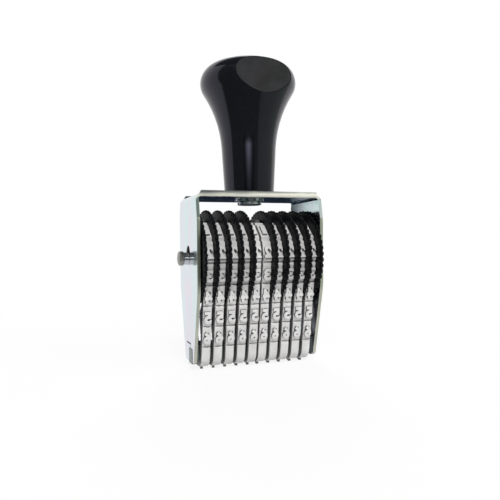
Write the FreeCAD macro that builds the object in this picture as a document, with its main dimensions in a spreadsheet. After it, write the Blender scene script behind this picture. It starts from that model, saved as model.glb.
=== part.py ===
"""Hand number stamp with ten rubber number bands.

The origin is in the print plane, under the middle of the stamp: z = 0 is the face of the digits that
are set to print, x runs along the axle to the right and y runs to the back. Every size is in
millimetres and stands once, in the sheet Sizes; the sheet Fits works out what follows from them.
"""
import FreeCAD, Part
import math
import os

import Sketcher

Vector = FreeCAD.Vector
X_AXIS = Vector(1, 0, 0)
Y_AXIS = Vector(0, 1, 0)
Z_AXIS = Vector(0, 0, 1)
HALF_TURN = 180
FULL_TURN = 360

SIZES = [
    # the frame: one strip of sheet bent into a yoke
    ("sheet_thickness", 0.8, "of the frame"),
    ("bend_radius", 1.5, "outside of the two bends"),
    ("plate_foot", 1.8, "lower edge of the side plates above the print plane"),
    ("foot_depth", 8.4, "front to back of a side plate at its foot"),
    ("shoulder_height", 20.2, "where the taper ends"),
    ("shoulder_step", 0.25, "taper's end behind the deepest place"),
    ("head_step", 0.8, "deepest place of the plates in front of the roof's edge"),
    ("head_drop", 6.2, "deepest place of the plates below the top of the roof"),
    ("lip_play", 1.45, "between the lips and the foot of the handle"),
    ("wheel_headroom", 1.4, "between the thumbwheels and the head of the screw"),
    ("side_play", 0.31, "between the outer thumbwheels and the side plates"),
    ("foot_corner", 1.0, "radius of the lower corners"),
    ("shoulder_round", 14.0, "radius where the taper ends"),
    ("head_round", 5.0, "radius where the plate is deepest"),
    ("lip_rise", 0.7, "of the upturned lips above the roof"),
    ("lip_bend", 0.7, "outside radius under the lips"),
    ("lip_slant", 1.4, "slant at the ends of the lips"),
    # the axle, its slot and its caps
    ("axle_height", 27.6, "axle's centre above the print plane"),
    ("axle_diameter", 3.2, "rod"),
    ("axle_slot_width", 3.8, "slot in the side plates"),
    ("axle_slot_headroom", 1.6, "free slot above the rod"),
    ("axle_bare", 1.3, "rod between a side plate and its cap"),
    ("spigot_diameter", 2.0, "turned-down ends of the rod"),
    ("spigot_length", 1.0, "turned-down ends of the rod"),
    ("cap_diameter", 3.6, "dull caps"),
    ("cap_length", 1.4, "dull caps"),
    ("cap_crown", 0.35, "how far their ends bulge"),
    # the platen bar
    ("platen_depth", 6.0, "front to back"),
    ("platen_height", 4.1, "bar"),
    ("platen_round", 1.5, "radius of its lower corners"),
    ("platen_play", 0.05, "between the bar and the side plates"),
    ("tab_middle", -1.4, "middle of the tabs, forward of the centre plane"),
    ("tab_depth", 3.1, "front to back of the tabs"),
    ("tab_height", 3.7, "tabs"),
    ("tab_drop", 0.25, "tabs below the foot of the side plates"),
    ("tab_proud", 0.1, "tabs beyond the outer faces"),
    ("slot_play", 0.05, "round a tab in its slot"),
    ("slit_width", 0.35, "fine slit above the slot"),
    ("slit_length", 4.0, "fine slit, from the slot's middle to the back"),
    ("slit_rise", 1.05, "middle of the slit above the slot"),
    # the ten units
    ("unit_play", 0.04, "between a unit and the next"),
    ("middle_play", 0.46, "between the two middle units, which stand drum to drum"),
    ("drum_length", 2.2, "drum that carries the band"),
    ("drum_diameter", 14.6, "drum, over its corners"),
    ("wheel_diameter", 24.2, "over the tips of the teeth"),
    ("wheel_thickness", 0.79, "serrated disc"),
    ("wheel_teeth", 48, "teeth round the rim"),
    ("tooth_height", 0.7, "teeth, from root to tip"),
    ("bore_play", 0.05, "between the axle and the bore, on the radius"),
    # the rubber bands
    ("band_play", 0.025, "between a band's side and the end of its drum"),
    ("belt_thickness", 0.7, "smooth inner belt"),
    ("block_rise", 0.8, "blocks above the belt"),
    ("block_count", 16, "blocks round a band"),
    ("block_notch", 0.4, "width of the notch between two blocks"),
    ("type_rise", 0.6, "digits above their block"),
    ("type_height", 3.1, "digits, along the band"),
    ("type_width", 1.8, "digits, across the band"),
    ("type_drop", 0.5, "middle of a digit from the middle of its block, toward the block before"),
    ("drum_play", 0.2, "between the drum and the belt"),
    ("platen_seat", 0.05, "between the platen and the belt"),
    # the handle and its fastening
    ("handle_height", 35.4, "from the roof to the crown"),
    ("foot_radius", 6.35, "handle at the roof"),
    ("neck_radius", 7.05, "handle where it starts to flare"),
    ("neck_height", 12.5, "that place above the roof"),
    ("head_radius", 12.35, "widest part of the handle"),
    ("head_level", 29.1, "that place above the roof"),
    ("head_edge", 4.75, "radius of the rounded edge of the head"),
    ("spot_distance", 9.85, "flat spot from the axis, at the widest level"),
    ("insert_diameter", 7.0, "threaded insert"),
    ("insert_length", 12.0, "threaded insert"),
    ("screw_diameter", 4.0, "shank"),
    ("screw_spare", 1.2, "end of the shank short of the end of the insert"),
    ("screw_head_diameter", 6.2, "pan head"),
    ("screw_head_height", 0.9, "pan head"),
    ("screw_play", 0.05, "round the shank, on the radius"),
    ("driver_slot_width", 0.9, "slot in the head"),
    ("driver_slot_depth", 0.5, "slot in the head"),
    ("washer_diameter", 7.6, "toothed washer"),
    ("washer_thickness", 0.4, "toothed washer"),
    ("washer_teeth", 12, "toothed washer"),
    ("washer_notch", 0.8, "width and depth of its notches"),
    ("overrun", 1.0, "how far a cut runs past what it cuts"),
    ("embed", 0.1, "how deep a raised digit is rooted in its block"),
    ("nearness", 0.001, "how close an edge passes a place that it is picked by"),
]

# half of the units stand left of the middle plane and half right of it
UNITS_EACH_SIDE = 5

# sizes that follow from the others
FITS = [
    ("unit_pitch", "Sizes.drum_length + Sizes.wheel_thickness + Sizes.unit_play", "from band to band"),
    ("middle_gap", "Sizes.drum_length + Sizes.middle_play", "between the centres of the two middle bands"),
    ("band_width", "Sizes.drum_length - 2 * Sizes.band_play", "along the axle"),
    ("stack_width", f"Fits.middle_gap + 2 * {UNITS_EACH_SIDE - 1} * Fits.unit_pitch"
     " + Sizes.drum_length + 2 * Sizes.wheel_thickness", "over all the units"),
    ("inner_width", "Fits.stack_width + 2 * Sizes.side_play", "between the side plates"),
    ("frame_width", "Fits.inner_width + 2 * Sizes.sheet_thickness", "over the side plates"),
    ("screw_head_top", "Sizes.axle_height + Sizes.wheel_diameter / 2 + Sizes.wheel_headroom"
     " + Sizes.screw_head_height", "face of the head that bears on the washer"),
    ("roof_underside", "Fits.screw_head_top + Sizes.washer_thickness", "above the print plane"),
    ("frame_top", "Fits.roof_underside + Sizes.sheet_thickness", "top of the roof above the print plane"),
    ("roof_depth", "2 * (Sizes.foot_radius + Sizes.lip_play + Sizes.sheet_thickness)", "front to back"),
    ("head_depth", "Fits.roof_depth + 2 * Sizes.head_step", "front to back where the plates are deepest"),
    ("shoulder_depth", "Fits.head_depth - 2 * Sizes.shoulder_step", "front to back where the taper ends"),
    ("head_height", "Fits.frame_top - Sizes.head_drop", "where the plates are deepest"),
    ("platen_bottom", "Sizes.type_rise + Sizes.block_rise + Sizes.belt_thickness + Sizes.platen_seat",
     "above the print plane"),
    ("tab_foot", "Sizes.plate_foot - Sizes.tab_drop", "lower edge of the tabs above the print plane"),
    ("slot_ceiling", "Fits.tab_foot + Sizes.tab_height + Sizes.slot_play", "of the slot for a tab"),
    ("slit_height", "Fits.slot_ceiling + Sizes.slit_rise", "middle of the slit above the print plane"),
    ("half_tooth", "Sizes.wheel_diameter / 2 * sin(180 deg / Sizes.wheel_teeth)",
     "from the middle of a notch to the tip beside it"),
    ("tooth_sag", "Sizes.wheel_diameter / 2 * (1 - cos(180 deg / Sizes.wheel_teeth))",
     "tip of a tooth below the line over the middle of the next notch"),
    ("notch_slope", "Fits.half_tooth / (Sizes.tooth_height - Fits.tooth_sag)",
     "how far the sides of a notch open for each millimetre outward"),
    ("screw_length", "Sizes.insert_length - Sizes.screw_spare + Sizes.sheet_thickness"
     " + Sizes.washer_thickness", "shank"),
]

# where a band's outline is drawn on its way round a corner of the platen, as shares of the corner
CORNER_SHARES = (0, 0.33, 0.67, 1)
# the flat spot looks to the front, a little to the right and a little up
SPOT_TURN = 4.8
SPOT_TILT = 6.8
# blocks without a digit, counted round the band from the one that prints
BLANK_BLOCKS = (1, 9, 10, 11, 12)
# flats round a drum
DRUM_FLATS = 10

doc = FreeCAD.newDocument("number_stamp")
sizes = doc.addObject("Spreadsheet::Sheet", "Sizes")
for row, (alias, value, note) in enumerate(SIZES, start=1):
    sizes.set(f"A{row}", alias)
    sizes.set(f"B{row}", str(value))
    sizes.set(f"C{row}", note)
    sizes.setAlias(f"B{row}", alias)
doc.recompute()
fits = doc.addObject("Spreadsheet::Sheet", "Fits")
for row, (alias, formula, note) in enumerate(FITS, start=1):
    fits.set(f"A{row}", alias)
    fits.set(f"B{row}", "=" + formula.replace("Fits.", ""))
    fits.set(f"C{row}", note)
    fits.setAlias(f"B{row}", alias)
doc.recompute()

parts = []


def size(alias):
    """A size as a number, for the few shapes that are worked out point by point."""
    return float(sizes.get(alias))


def fit(alias):
    """A size that follows from the others, as a number."""
    return float(fits.get(alias))


def new_body(name):
    body = doc.addObject("PartDesign::Body", name)
    body.Label = name
    parts.append(body)
    return body


def origin_feature(body, role):
    return next(item for item in body.Origin.OriginFeatures if item.Role == role)


def new_sketch(body, name, role, offset=None):
    sketch = body.newObject("Sketcher::SketchObject", name)
    sketch.AttachmentSupport = (origin_feature(body, role), "")
    sketch.MapMode = "FlatFace"
    if offset:
        sketch.setExpression("AttachmentOffset.Base.z", offset)
    return sketch


def hold(sketch, index, end, across, up):
    """Hold a point of a sketch at a place given by two expressions over the sheet."""
    for direction, axis, place in (("X", -2, across), ("Y", -1, up)):
        if place == "0":
            sketch.addConstraint(Sketcher.Constraint("PointOnObject", index, end, axis))
            continue
        point = sketch.getPoint(index, end)
        start = point.x if direction == "X" else point.y
        number = sketch.addConstraint(
            Sketcher.Constraint("Distance" + direction, -1, 1, index, end, start))
        sketch.setExpression(f"Constraints[{number}]", place)


def outline(sketch, corners):
    """A closed run of straight lines whose corners are (across, up) expressions."""
    count = len(corners)
    spread = [FULL_TURN * step / count for step in range(count)]
    guess = [Vector(math.cos(math.radians(turn)), math.sin(math.radians(turn)), 0) for turn in spread]
    lines = []
    for step in range(count):
        lines.append(sketch.addGeometry(Part.LineSegment(guess[step], guess[(step + 1) % count])))
    for step, line in enumerate(lines):
        following = lines[(step + 1) % count]
        sketch.addConstraint(Sketcher.Constraint("Coincident", line, 2, following, 1))
    for line, (across, up) in zip(lines, corners):
        hold(sketch, line, 1, across, up)


def circle(sketch, across, up, radius):
    index = sketch.addGeometry(Part.Circle(Vector(1, 1, 0), Z_AXIS, 1))
    hold(sketch, index, 3, across, up)
    number = sketch.addConstraint(Sketcher.Constraint("Radius", index, 1))
    sketch.setExpression(f"Constraints[{number}]", radius)


def pad(body, sketch, name, length, side="One side", backwards=False):
    feature = body.newObject("PartDesign::Pad", name)
    feature.Profile = sketch
    feature.SideType = side
    feature.Reversed = backwards
    feature.setExpression("Length", length)
    return feature


def cut_through(body, sketch, name):
    """A pocket that goes both ways through everything; it must take something away."""
    doc.recompute()
    before = body.Shape.Volume
    feature = body.newObject("PartDesign::Pocket", name)
    feature.Profile = sketch
    feature.Type = "ThroughAll"
    feature.SideType = "Symmetric"
    doc.recompute()
    if not body.Shape.Volume < before:
        raise RuntimeError(f"{name} takes nothing away from {body.Label}")
    return feature


def cut_to(body, sketch, name, depth, backwards=False):
    """A pocket of a given depth; it must take something away."""
    doc.recompute()
    before = body.Shape.Volume
    feature = body.newObject("PartDesign::Pocket", name)
    feature.Profile = sketch
    feature.Reversed = backwards
    feature.setExpression("Length", depth)
    doc.recompute()
    if not body.Shape.Volume < before:
        raise RuntimeError(f"{name} takes nothing away from {body.Label}")
    return feature


def repeat_round(body, feature, name, role, occurrences):
    pattern = body.newObject("PartDesign::PolarPattern", name)
    pattern.Originals = [feature]
    pattern.Axis = (origin_feature(body, role), [""])
    pattern.Angle = FULL_TURN
    pattern.setExpression("Occurrences", occurrences)
    body.Tip = pattern
    return pattern


def revolve(body, sketch, name, role):
    feature = body.newObject("PartDesign::Revolution", name)
    feature.Profile = sketch
    feature.ReferenceAxis = (origin_feature(body, role), [""])
    feature.Angle = FULL_TURN
    return feature


def round_edges(body, name, radius, along, places):
    """Fillet the straight edges along a direction that pass through any of the places."""
    doc.recompute()
    base = body.Tip
    names = []
    for number, edge in enumerate(base.Shape.Edges, start=1):
        if not isinstance(edge.Curve, Part.Line):
            continue
        if edge.tangentAt(edge.FirstParameter).cross(along).Length > size("nearness"):
            continue
        if any(edge.distToShape(Part.Vertex(place))[0] < size("nearness") for place in places):
            names.append(f"Edge{number}")
    if not names:
        raise RuntimeError(f"{name} finds no edge on {body.Label}")
    feature = body.newObject("PartDesign::Fillet", name)
    feature.Base = (base, names)
    feature.setExpression("Radius", radius)
    return feature


def make_frame():
    """The yoke: a bent strip, its plates trimmed to outline, lips turned up along the roof."""
    body = new_body("frame")
    strip = new_sketch(body, "strip", "XZ_Plane")
    outline(strip, [
        ("-Fits.frame_width / 2", "Sizes.plate_foot"),
        ("-Fits.frame_width / 2", "Fits.frame_top"),
        ("Fits.frame_width / 2", "Fits.frame_top"),
        ("Fits.frame_width / 2", "Sizes.plate_foot"),
        ("Fits.inner_width / 2", "Sizes.plate_foot"),
        ("Fits.inner_width / 2", "Fits.roof_underside"),
        ("-Fits.inner_width / 2", "Fits.roof_underside"),
        ("-Fits.inner_width / 2", "Sizes.plate_foot"),
    ])
    pad(body, strip, "bent_strip", "Fits.head_depth", "Symmetric")

    side = fit("frame_width") / 2
    inside = fit("inner_width") / 2
    top = fit("frame_top")
    under = fit("roof_underside")
    round_edges(body, "inner_bends", "Sizes.bend_radius - Sizes.sheet_thickness", Y_AXIS,
                [Vector(inside, 0, under), Vector(-inside, 0, under)])
    round_edges(body, "outer_bends", "Sizes.bend_radius", Y_AXIS,
                [Vector(side, 0, top), Vector(-side, 0, top)])

    trim = new_sketch(body, "plate_outline", "YZ_Plane")
    outline(trim, [
        ("-Fits.head_depth / 2 - Sizes.overrun", "Sizes.plate_foot - Sizes.overrun"),
        ("Fits.head_depth / 2 + Sizes.overrun", "Sizes.plate_foot - Sizes.overrun"),
        ("Fits.head_depth / 2 + Sizes.overrun", "Fits.frame_top + Sizes.overrun"),
        ("-Fits.head_depth / 2 - Sizes.overrun", "Fits.frame_top + Sizes.overrun"),
    ])
    outline(trim, [
        ("-Sizes.foot_depth / 2", "Sizes.plate_foot"),
        ("Sizes.foot_depth / 2", "Sizes.plate_foot"),
        ("Fits.shoulder_depth / 2", "Sizes.shoulder_height"),
        ("Fits.head_depth / 2", "Fits.head_height"),
        ("Fits.roof_depth / 2", "Fits.frame_top - Sizes.bend_radius"),
        ("Fits.roof_depth / 2", "Fits.frame_top"),
        ("-Fits.roof_depth / 2", "Fits.frame_top"),
        ("-Fits.roof_depth / 2", "Fits.frame_top - Sizes.bend_radius"),
        ("-Fits.head_depth / 2", "Fits.head_height"),
        ("-Fits.shoulder_depth / 2", "Sizes.shoulder_height"),
    ])
    cut_through(body, trim, "plate_trim")

    for name, radius, depth, height in (
            ("foot_corners", "Sizes.foot_corner", size("foot_depth"), size("plate_foot")),
            ("shoulders", "Sizes.shoulder_round", fit("shoulder_depth"), size("shoulder_height")),
            ("heads", "Sizes.head_round", fit("head_depth"), fit("head_height"))):
        places = [Vector(x, y, height) for x in (side, -side) for y in (depth / 2, -depth / 2)]
        round_edges(body, name, radius, X_AXIS, places)

    for name, place in (("front_lip", "-1"), ("rear_lip", "1")):
        lip = new_sketch(body, name + "_outline", "XZ_Plane", f"-{place} * Fits.roof_depth / 2")
        outline(lip, [
            ("-Fits.frame_width / 2 + Sizes.bend_radius", "Fits.roof_underside"),
            ("-Fits.frame_width / 2 + Sizes.lip_slant / 2", "Fits.frame_top - Sizes.sheet_thickness / 2"),
            ("-Fits.frame_width / 2 + Sizes.lip_slant", "Fits.frame_top + Sizes.lip_rise"),
            ("Fits.frame_width / 2 - Sizes.lip_slant", "Fits.frame_top + Sizes.lip_rise"),
            ("Fits.frame_width / 2 - Sizes.lip_slant / 2", "Fits.frame_top - Sizes.sheet_thickness / 2"),
            ("Fits.frame_width / 2 - Sizes.bend_radius", "Fits.roof_underside"),
        ])
        pad(body, lip, name, "Sizes.sheet_thickness", backwards=place == "-1")
    front = fit("roof_depth") / 2
    round_edges(body, "lip_bends", "Sizes.lip_bend", X_AXIS,
                [Vector(0, -front, under), Vector(0, front, under)])

    holes = new_sketch(body, "axle_slots", "YZ_Plane")
    reach = size("axle_slot_width") / 2
    rest = size("axle_height") - size("axle_diameter") / 2 + reach
    ceiling = size("axle_height") + size("axle_diameter") / 2 + size("axle_slot_headroom") - reach
    obround(holes, (reach, rest, ceiling), "Sizes.axle_slot_width / 2",
            "Sizes.axle_height - Sizes.axle_diameter / 2 - Sizes.bore_play + Sizes.axle_slot_width / 2",
            "Sizes.axle_height + Sizes.axle_diameter / 2 + Sizes.axle_slot_headroom"
            " - Sizes.axle_slot_width / 2")
    cut_through(body, holes, "axle_slot")

    front_side = "Sizes.tab_middle - Sizes.tab_depth / 2 - Sizes.slot_play"
    back_side = "Sizes.tab_middle + Sizes.tab_depth / 2 + Sizes.slot_play"
    slot = new_sketch(body, "platen_slots", "YZ_Plane")
    outline(slot, [
        (front_side, "Sizes.plate_foot - Sizes.overrun"),
        (front_side, "Fits.slot_ceiling"),
        ("Sizes.tab_middle - Sizes.slit_width / 2", "Fits.slot_ceiling"),
        ("Sizes.tab_middle - Sizes.slit_width / 2", "Fits.slit_height + Sizes.slit_width / 2"),
        ("Sizes.tab_middle + Sizes.slit_length", "Fits.slit_height + Sizes.slit_width / 2"),
        ("Sizes.tab_middle + Sizes.slit_length", "Fits.slit_height - Sizes.slit_width / 2"),
        ("Sizes.tab_middle + Sizes.slit_width / 2", "Fits.slit_height - Sizes.slit_width / 2"),
        ("Sizes.tab_middle + Sizes.slit_width / 2", "Fits.slot_ceiling"),
        (back_side, "Fits.slot_ceiling"),
        (back_side, "Sizes.plate_foot - Sizes.overrun"),
    ])
    cut_through(body, slot, "platen_slot")

    hole = new_sketch(body, "screw_hole_outline", "XY_Plane", "Fits.frame_top + Sizes.overrun")
    circle(hole, "0", "0", "Sizes.screw_diameter / 2 + Sizes.screw_play")
    cut_to(body, hole, "screw_hole", "Sizes.sheet_thickness + 2 * Sizes.overrun")
    return body


def obround(sketch, start, radius, low, high):
    """An upright slot with round ends, drawn about its starting values and then held by the sheet."""
    reach, floor, ceiling = start
    top = sketch.addGeometry(Part.ArcOfCircle(
        Part.Circle(Vector(0, ceiling, 0), Z_AXIS, reach), 0, math.pi))
    bottom = sketch.addGeometry(Part.ArcOfCircle(
        Part.Circle(Vector(0, floor, 0), Z_AXIS, reach), math.pi, 2 * math.pi))
    left = sketch.addGeometry(Part.LineSegment(Vector(-reach, ceiling, 0), Vector(-reach, floor, 0)))
    right = sketch.addGeometry(Part.LineSegment(Vector(reach, floor, 0), Vector(reach, ceiling, 0)))
    for first, first_end, second, second_end in ((top, 2, left, 1), (left, 2, bottom, 1),
                                                 (bottom, 2, right, 1), (right, 2, top, 1)):
        sketch.addConstraint(Sketcher.Constraint("Tangent", first, first_end, second, second_end))
    hold(sketch, top, 3, "0", high)
    hold(sketch, bottom, 3, "0", low)
    number = sketch.addConstraint(Sketcher.Constraint("Radius", top, reach))
    sketch.setExpression(f"Constraints[{number}]", radius)


def make_axle():
    """The rod with its two turned-down ends."""
    body = new_body("axle")
    rod = new_sketch(body, "rod_outline", "YZ_Plane")
    circle(rod, "0", "0", "Sizes.axle_diameter / 2")
    pad(body, rod, "rod", "Fits.frame_width + 2 * Sizes.axle_bare", "Symmetric")
    spigot = new_sketch(body, "spigot_outline", "YZ_Plane")
    circle(spigot, "0", "0", "Sizes.spigot_diameter / 2")
    pad(body, spigot, "spigots", "Fits.frame_width + 2 * Sizes.axle_bare + 2 * Sizes.spigot_length",
        "Symmetric")
    body.setExpression("Placement.Base.z", "Sizes.axle_height")
    return body


def make_axle_cap(name, side):
    """A cup with a slightly domed end, pressed on a turned-down end of the rod."""
    body = new_body(name)
    section = new_sketch(body, name + "_section", "XZ_Plane")
    start = "Fits.frame_width / 2 + Sizes.axle_bare"
    outline(section, [
        (start, "Sizes.spigot_diameter / 2"),
        (start, "Sizes.cap_diameter / 2"),
        (f"{start} + Sizes.cap_length - Sizes.cap_crown", "Sizes.cap_diameter / 2"),
        (f"{start} + Sizes.cap_length", "Sizes.cap_diameter / 4"),
        (f"{start} + Sizes.cap_length", "0"),
        (f"{start} + Sizes.spigot_length", "0"),
        (f"{start} + Sizes.spigot_length", "Sizes.spigot_diameter / 2"),
    ])
    revolve(body, section, name + "_turned", "X_Axis")
    if side < 0:
        body.Placement.Rotation = FreeCAD.Rotation(Z_AXIS, HALF_TURN)
    body.setExpression("Placement.Base.z", "Sizes.axle_height")
    return body


def make_platen():
    """The bar that the bands go round, with a tab at each end for the slots of the plates."""
    body = new_body("platen")
    section = new_sketch(body, "platen_section", "YZ_Plane")
    outline(section, [
        ("-Sizes.platen_depth / 2", "Fits.platen_bottom"),
        ("Sizes.platen_depth / 2", "Fits.platen_bottom"),
        ("Sizes.platen_depth / 2", "Fits.platen_bottom + Sizes.platen_height"),
        ("-Sizes.platen_depth / 2", "Fits.platen_bottom + Sizes.platen_height"),
    ])
    pad(body, section, "bar", "Fits.inner_width - 2 * Sizes.platen_play", "Symmetric")
    half = size("platen_depth") / 2
    bottom = fit("platen_bottom")
    round_edges(body, "band_corners", "Sizes.platen_round", X_AXIS,
                [Vector(0, half, bottom), Vector(0, -half, bottom)])
    front_side = "Sizes.tab_middle - Sizes.tab_depth / 2"
    back_side = "Sizes.tab_middle + Sizes.tab_depth / 2"
    bar_end = "Fits.inner_width / 2 - Sizes.platen_play"
    for name, start in (("left_tab", f"-({bar_end})"), ("right_tab", bar_end)):
        tab = new_sketch(body, name + "_section", "YZ_Plane", start)
        outline(tab, [
            (front_side, "Fits.tab_foot"),
            (back_side, "Fits.tab_foot"),
            (back_side, "Fits.tab_foot + Sizes.tab_height"),
            (front_side, "Fits.tab_foot + Sizes.tab_height"),
        ])
        pad(body, tab, name, "Sizes.platen_play + Sizes.sheet_thickness + Sizes.tab_proud",
            backwards=name == "left_tab")
    return body


def make_thumbwheel(name, place, side):
    """A serrated disc in one piece with the ten-sided drum of its band; the disc is on the outer side.

    The disc starts a little large, and the notches leave the tips of its teeth at their true place.
    """
    body = new_body(name)
    disc_start = "Sizes.drum_length / 2"
    disc_outline = new_sketch(body, name + "_disc_outline", "YZ_Plane", disc_start)
    circle(disc_outline, "0", "0", "Sizes.wheel_diameter / 2 + Sizes.overrun / 2")
    pad(body, disc_outline, name + "_disc", "Sizes.wheel_thickness")

    notch = new_sketch(body, name + "_notch_outline", "YZ_Plane")
    spread = "Fits.notch_slope * (Sizes.tooth_height + Sizes.overrun)"
    outline(notch, [
        (f"-({spread})", "Sizes.wheel_diameter / 2 + Sizes.overrun"),
        ("0", "Sizes.wheel_diameter / 2 - Sizes.tooth_height"),
        (spread, "Sizes.wheel_diameter / 2 + Sizes.overrun"),
    ])
    first_notch = cut_through(body, notch, name + "_notch")
    repeat_round(body, first_notch, name + "_teeth", "X_Axis", "Sizes.wheel_teeth")

    drum_outline = new_sketch(body, name + "_drum_outline", "YZ_Plane")
    turns = [FULL_TURN * (step + 0.5) / DRUM_FLATS for step in range(DRUM_FLATS)]
    outline(drum_outline, [(f"Sizes.drum_diameter / 2 * cos({turn} deg)",
                            f"Sizes.drum_diameter / 2 * sin({turn} deg)") for turn in turns])
    pad(body, drum_outline, name + "_drum", "Sizes.drum_length", "Symmetric")

    bore = new_sketch(body, name + "_bore_outline", "YZ_Plane")
    circle(bore, "0", "0", "Sizes.axle_diameter / 2 + Sizes.bore_play")
    cut_through(body, bore, name + "_bore")

    if side < 0:
        body.Placement.Rotation = FreeCAD.Rotation(Z_AXIS, HALF_TURN)
    body.setExpression("Placement.Base.x", place)
    body.setExpression("Placement.Base.z", "Sizes.axle_height")
    return body


class BandPath:
    """The inner face of a band: round the drum, down to the platen, round its two lower corners.

    Places on it are lengths along the neutral line, from the middle of the print face forward.
    """

    def __init__(self):
        self.neutral = size("belt_thickness") / 2
        self.drum = size("drum_diameter") / 2 + size("drum_play")
        self.corner = size("platen_round") + size("platen_seat")
        self.flat = size("platen_depth") / 2 - size("platen_round")
        self.floor = size("type_rise") + size("block_rise") + size("belt_thickness")
        self.corner_level = self.floor + self.corner
        self.drum_level = size("axle_height")
        rise = self.drum_level - self.corner_level
        reach = math.hypot(self.flat, rise)
        lean = math.asin((self.drum - self.corner) / reach) - math.atan2(self.flat, rise)
        self.run = math.sqrt(reach ** 2 - (self.drum - self.corner) ** 2)
        self.lean = lean
        self.corner_turn = math.pi / 2 - lean
        self.corner_length = self.corner_turn * (self.corner + self.neutral)
        self.drum_turn = math.pi / 2 + lean
        self.drum_length = self.drum_turn * (self.drum + self.neutral)
        self.half = self.flat + self.corner_length + self.run + self.drum_length

    def at(self, length):
        """Point of the inner face and outward normal at a length along the front half."""
        if length <= self.flat:
            return Vector(0, -length, self.floor), Vector(0, 0, -1)
        length -= self.flat
        if length <= self.corner_length:
            turn = length / (self.corner + self.neutral)
            normal = Vector(0, -math.sin(turn), -math.cos(turn))
            return Vector(0, -self.flat, self.corner_level) + normal * self.corner, normal
        length -= self.corner_length
        normal = Vector(0, -math.cos(self.lean), -math.sin(self.lean))
        if length <= self.run:
            start = Vector(0, -self.flat, self.corner_level) + normal * self.corner
            return start + Vector(0, -math.sin(self.lean), math.cos(self.lean)) * length, normal
        length -= self.run
        turn = length / (self.drum + self.neutral) - self.lean
        normal = Vector(0, -math.cos(turn), math.sin(turn))
        return Vector(0, 0, self.drum_level) + normal * self.drum, normal

    def offset(self, length, height):
        """Point at a height above the inner face, anywhere round the band."""
        length = length % (2 * self.half)
        mirrored = length > self.half
        point, normal = self.at(2 * self.half - length if mirrored else length)
        place = point + normal * height
        return Vector(0, -place.y if mirrored else place.y, place.z)

    def bends_between(self, start, end):
        """Lengths where the platen's corners begin, bend and end, front and rear, between two others."""
        front = [self.flat + self.corner_length * share for share in CORNER_SHARES]
        once = front + [-length for length in front]
        places = [length + turn for length in once for turn in (0, 2 * self.half)]
        return sorted(length for length in places if start < length < end)

    def along(self, length, height):
        """Point at a height above the inner face, and the direction in which the band runs there."""
        inner = self.offset(length, 0)
        outward = (self.offset(length, self.neutral) - inner).normalize()
        return inner + outward * height, outward.cross(X_AXIS)

    def fold(self, before, after, height):
        """Where the flats over two neighbouring lengths meet, at a height above the inner face."""
        if self.bends_between(before, after):
            return self.offset((before + after) / 2, height)
        first, run = self.along(before, height)
        second, turned = self.along(after, height)
        across = run.cross(turned).x
        if abs(across) < size("nearness"):
            return (first + second) * 0.5
        return first + run * ((second - first).cross(turned).x / across)


def band_shape():
    """An endless belt whose outside is a row of flat blocks with a raised digit face on most.

    Away from the platen the belt folds only between its blocks, where it goes round the drum.
    """
    path = BandPath()
    count = int(size("block_count"))
    pitch = 2 * path.half / count
    reach = pitch / 2 - size("block_notch") / 2
    block_height = size("belt_thickness") + size("block_rise")
    across = fit("band_width")

    outside = []
    inside = []
    digits = []
    for block in range(count):
        middle = block * pitch
        bends = path.bends_between(middle - pitch / 2, middle + pitch / 2)
        outside.append(path.fold(middle - pitch, middle, size("belt_thickness")))
        inside.append(path.fold(middle - pitch, middle, 0))
        face, run = path.along(middle, block_height)
        if bends:
            lengths = [middle - reach, *path.bends_between(middle - reach, middle + reach), middle + reach]
            outside.extend(path.offset(length, block_height) for length in lengths)
            inside.extend(path.offset(length, 0) for length in bends)
        else:
            outside.extend([face - run * reach, face + run * reach])
        if block in BLANK_BLOCKS:
            continue
        if bends:
            face, run = path.along(middle - size("type_drop"), block_height)
        else:
            face = face - run * size("type_drop")
        outward = X_AXIS.cross(run)
        side = X_AXIS * (size("type_width") / 2)
        length = run * size("type_height")
        foot = face - outward * size("embed") - length * 0.5
        corners = [foot - side, foot + side, foot + side + length, foot - side + length]
        pad_face = Part.Face(Part.makePolygon(corners + corners[:1]))
        digits.append(pad_face.extrude(outward * (size("type_rise") + size("embed"))))

    ring = Part.makeFace([Part.makePolygon(wire + wire[:1]) for wire in (outside, inside)],
                         "Part::FaceMakerBullseye")
    belt = ring.extrude(X_AXIS * across)
    belt.translate(X_AXIS * (-across / 2))
    return belt.fuse(digits).removeSplitter()


def make_band(name, shape, place):
    feature = doc.addObject("Part::Feature", name)
    feature.Label = name
    feature.Shape = shape.copy()
    feature.setExpression("Placement.Base.x", place)
    parts.append(feature)
    return feature


def join(sketch, kind, *pairs):
    """Join ends of a sketch's lines and arcs, each pair given as (first, end, second, end)."""
    for pair in pairs:
        sketch.addConstraint(Sketcher.Constraint(kind, *pair))


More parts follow.
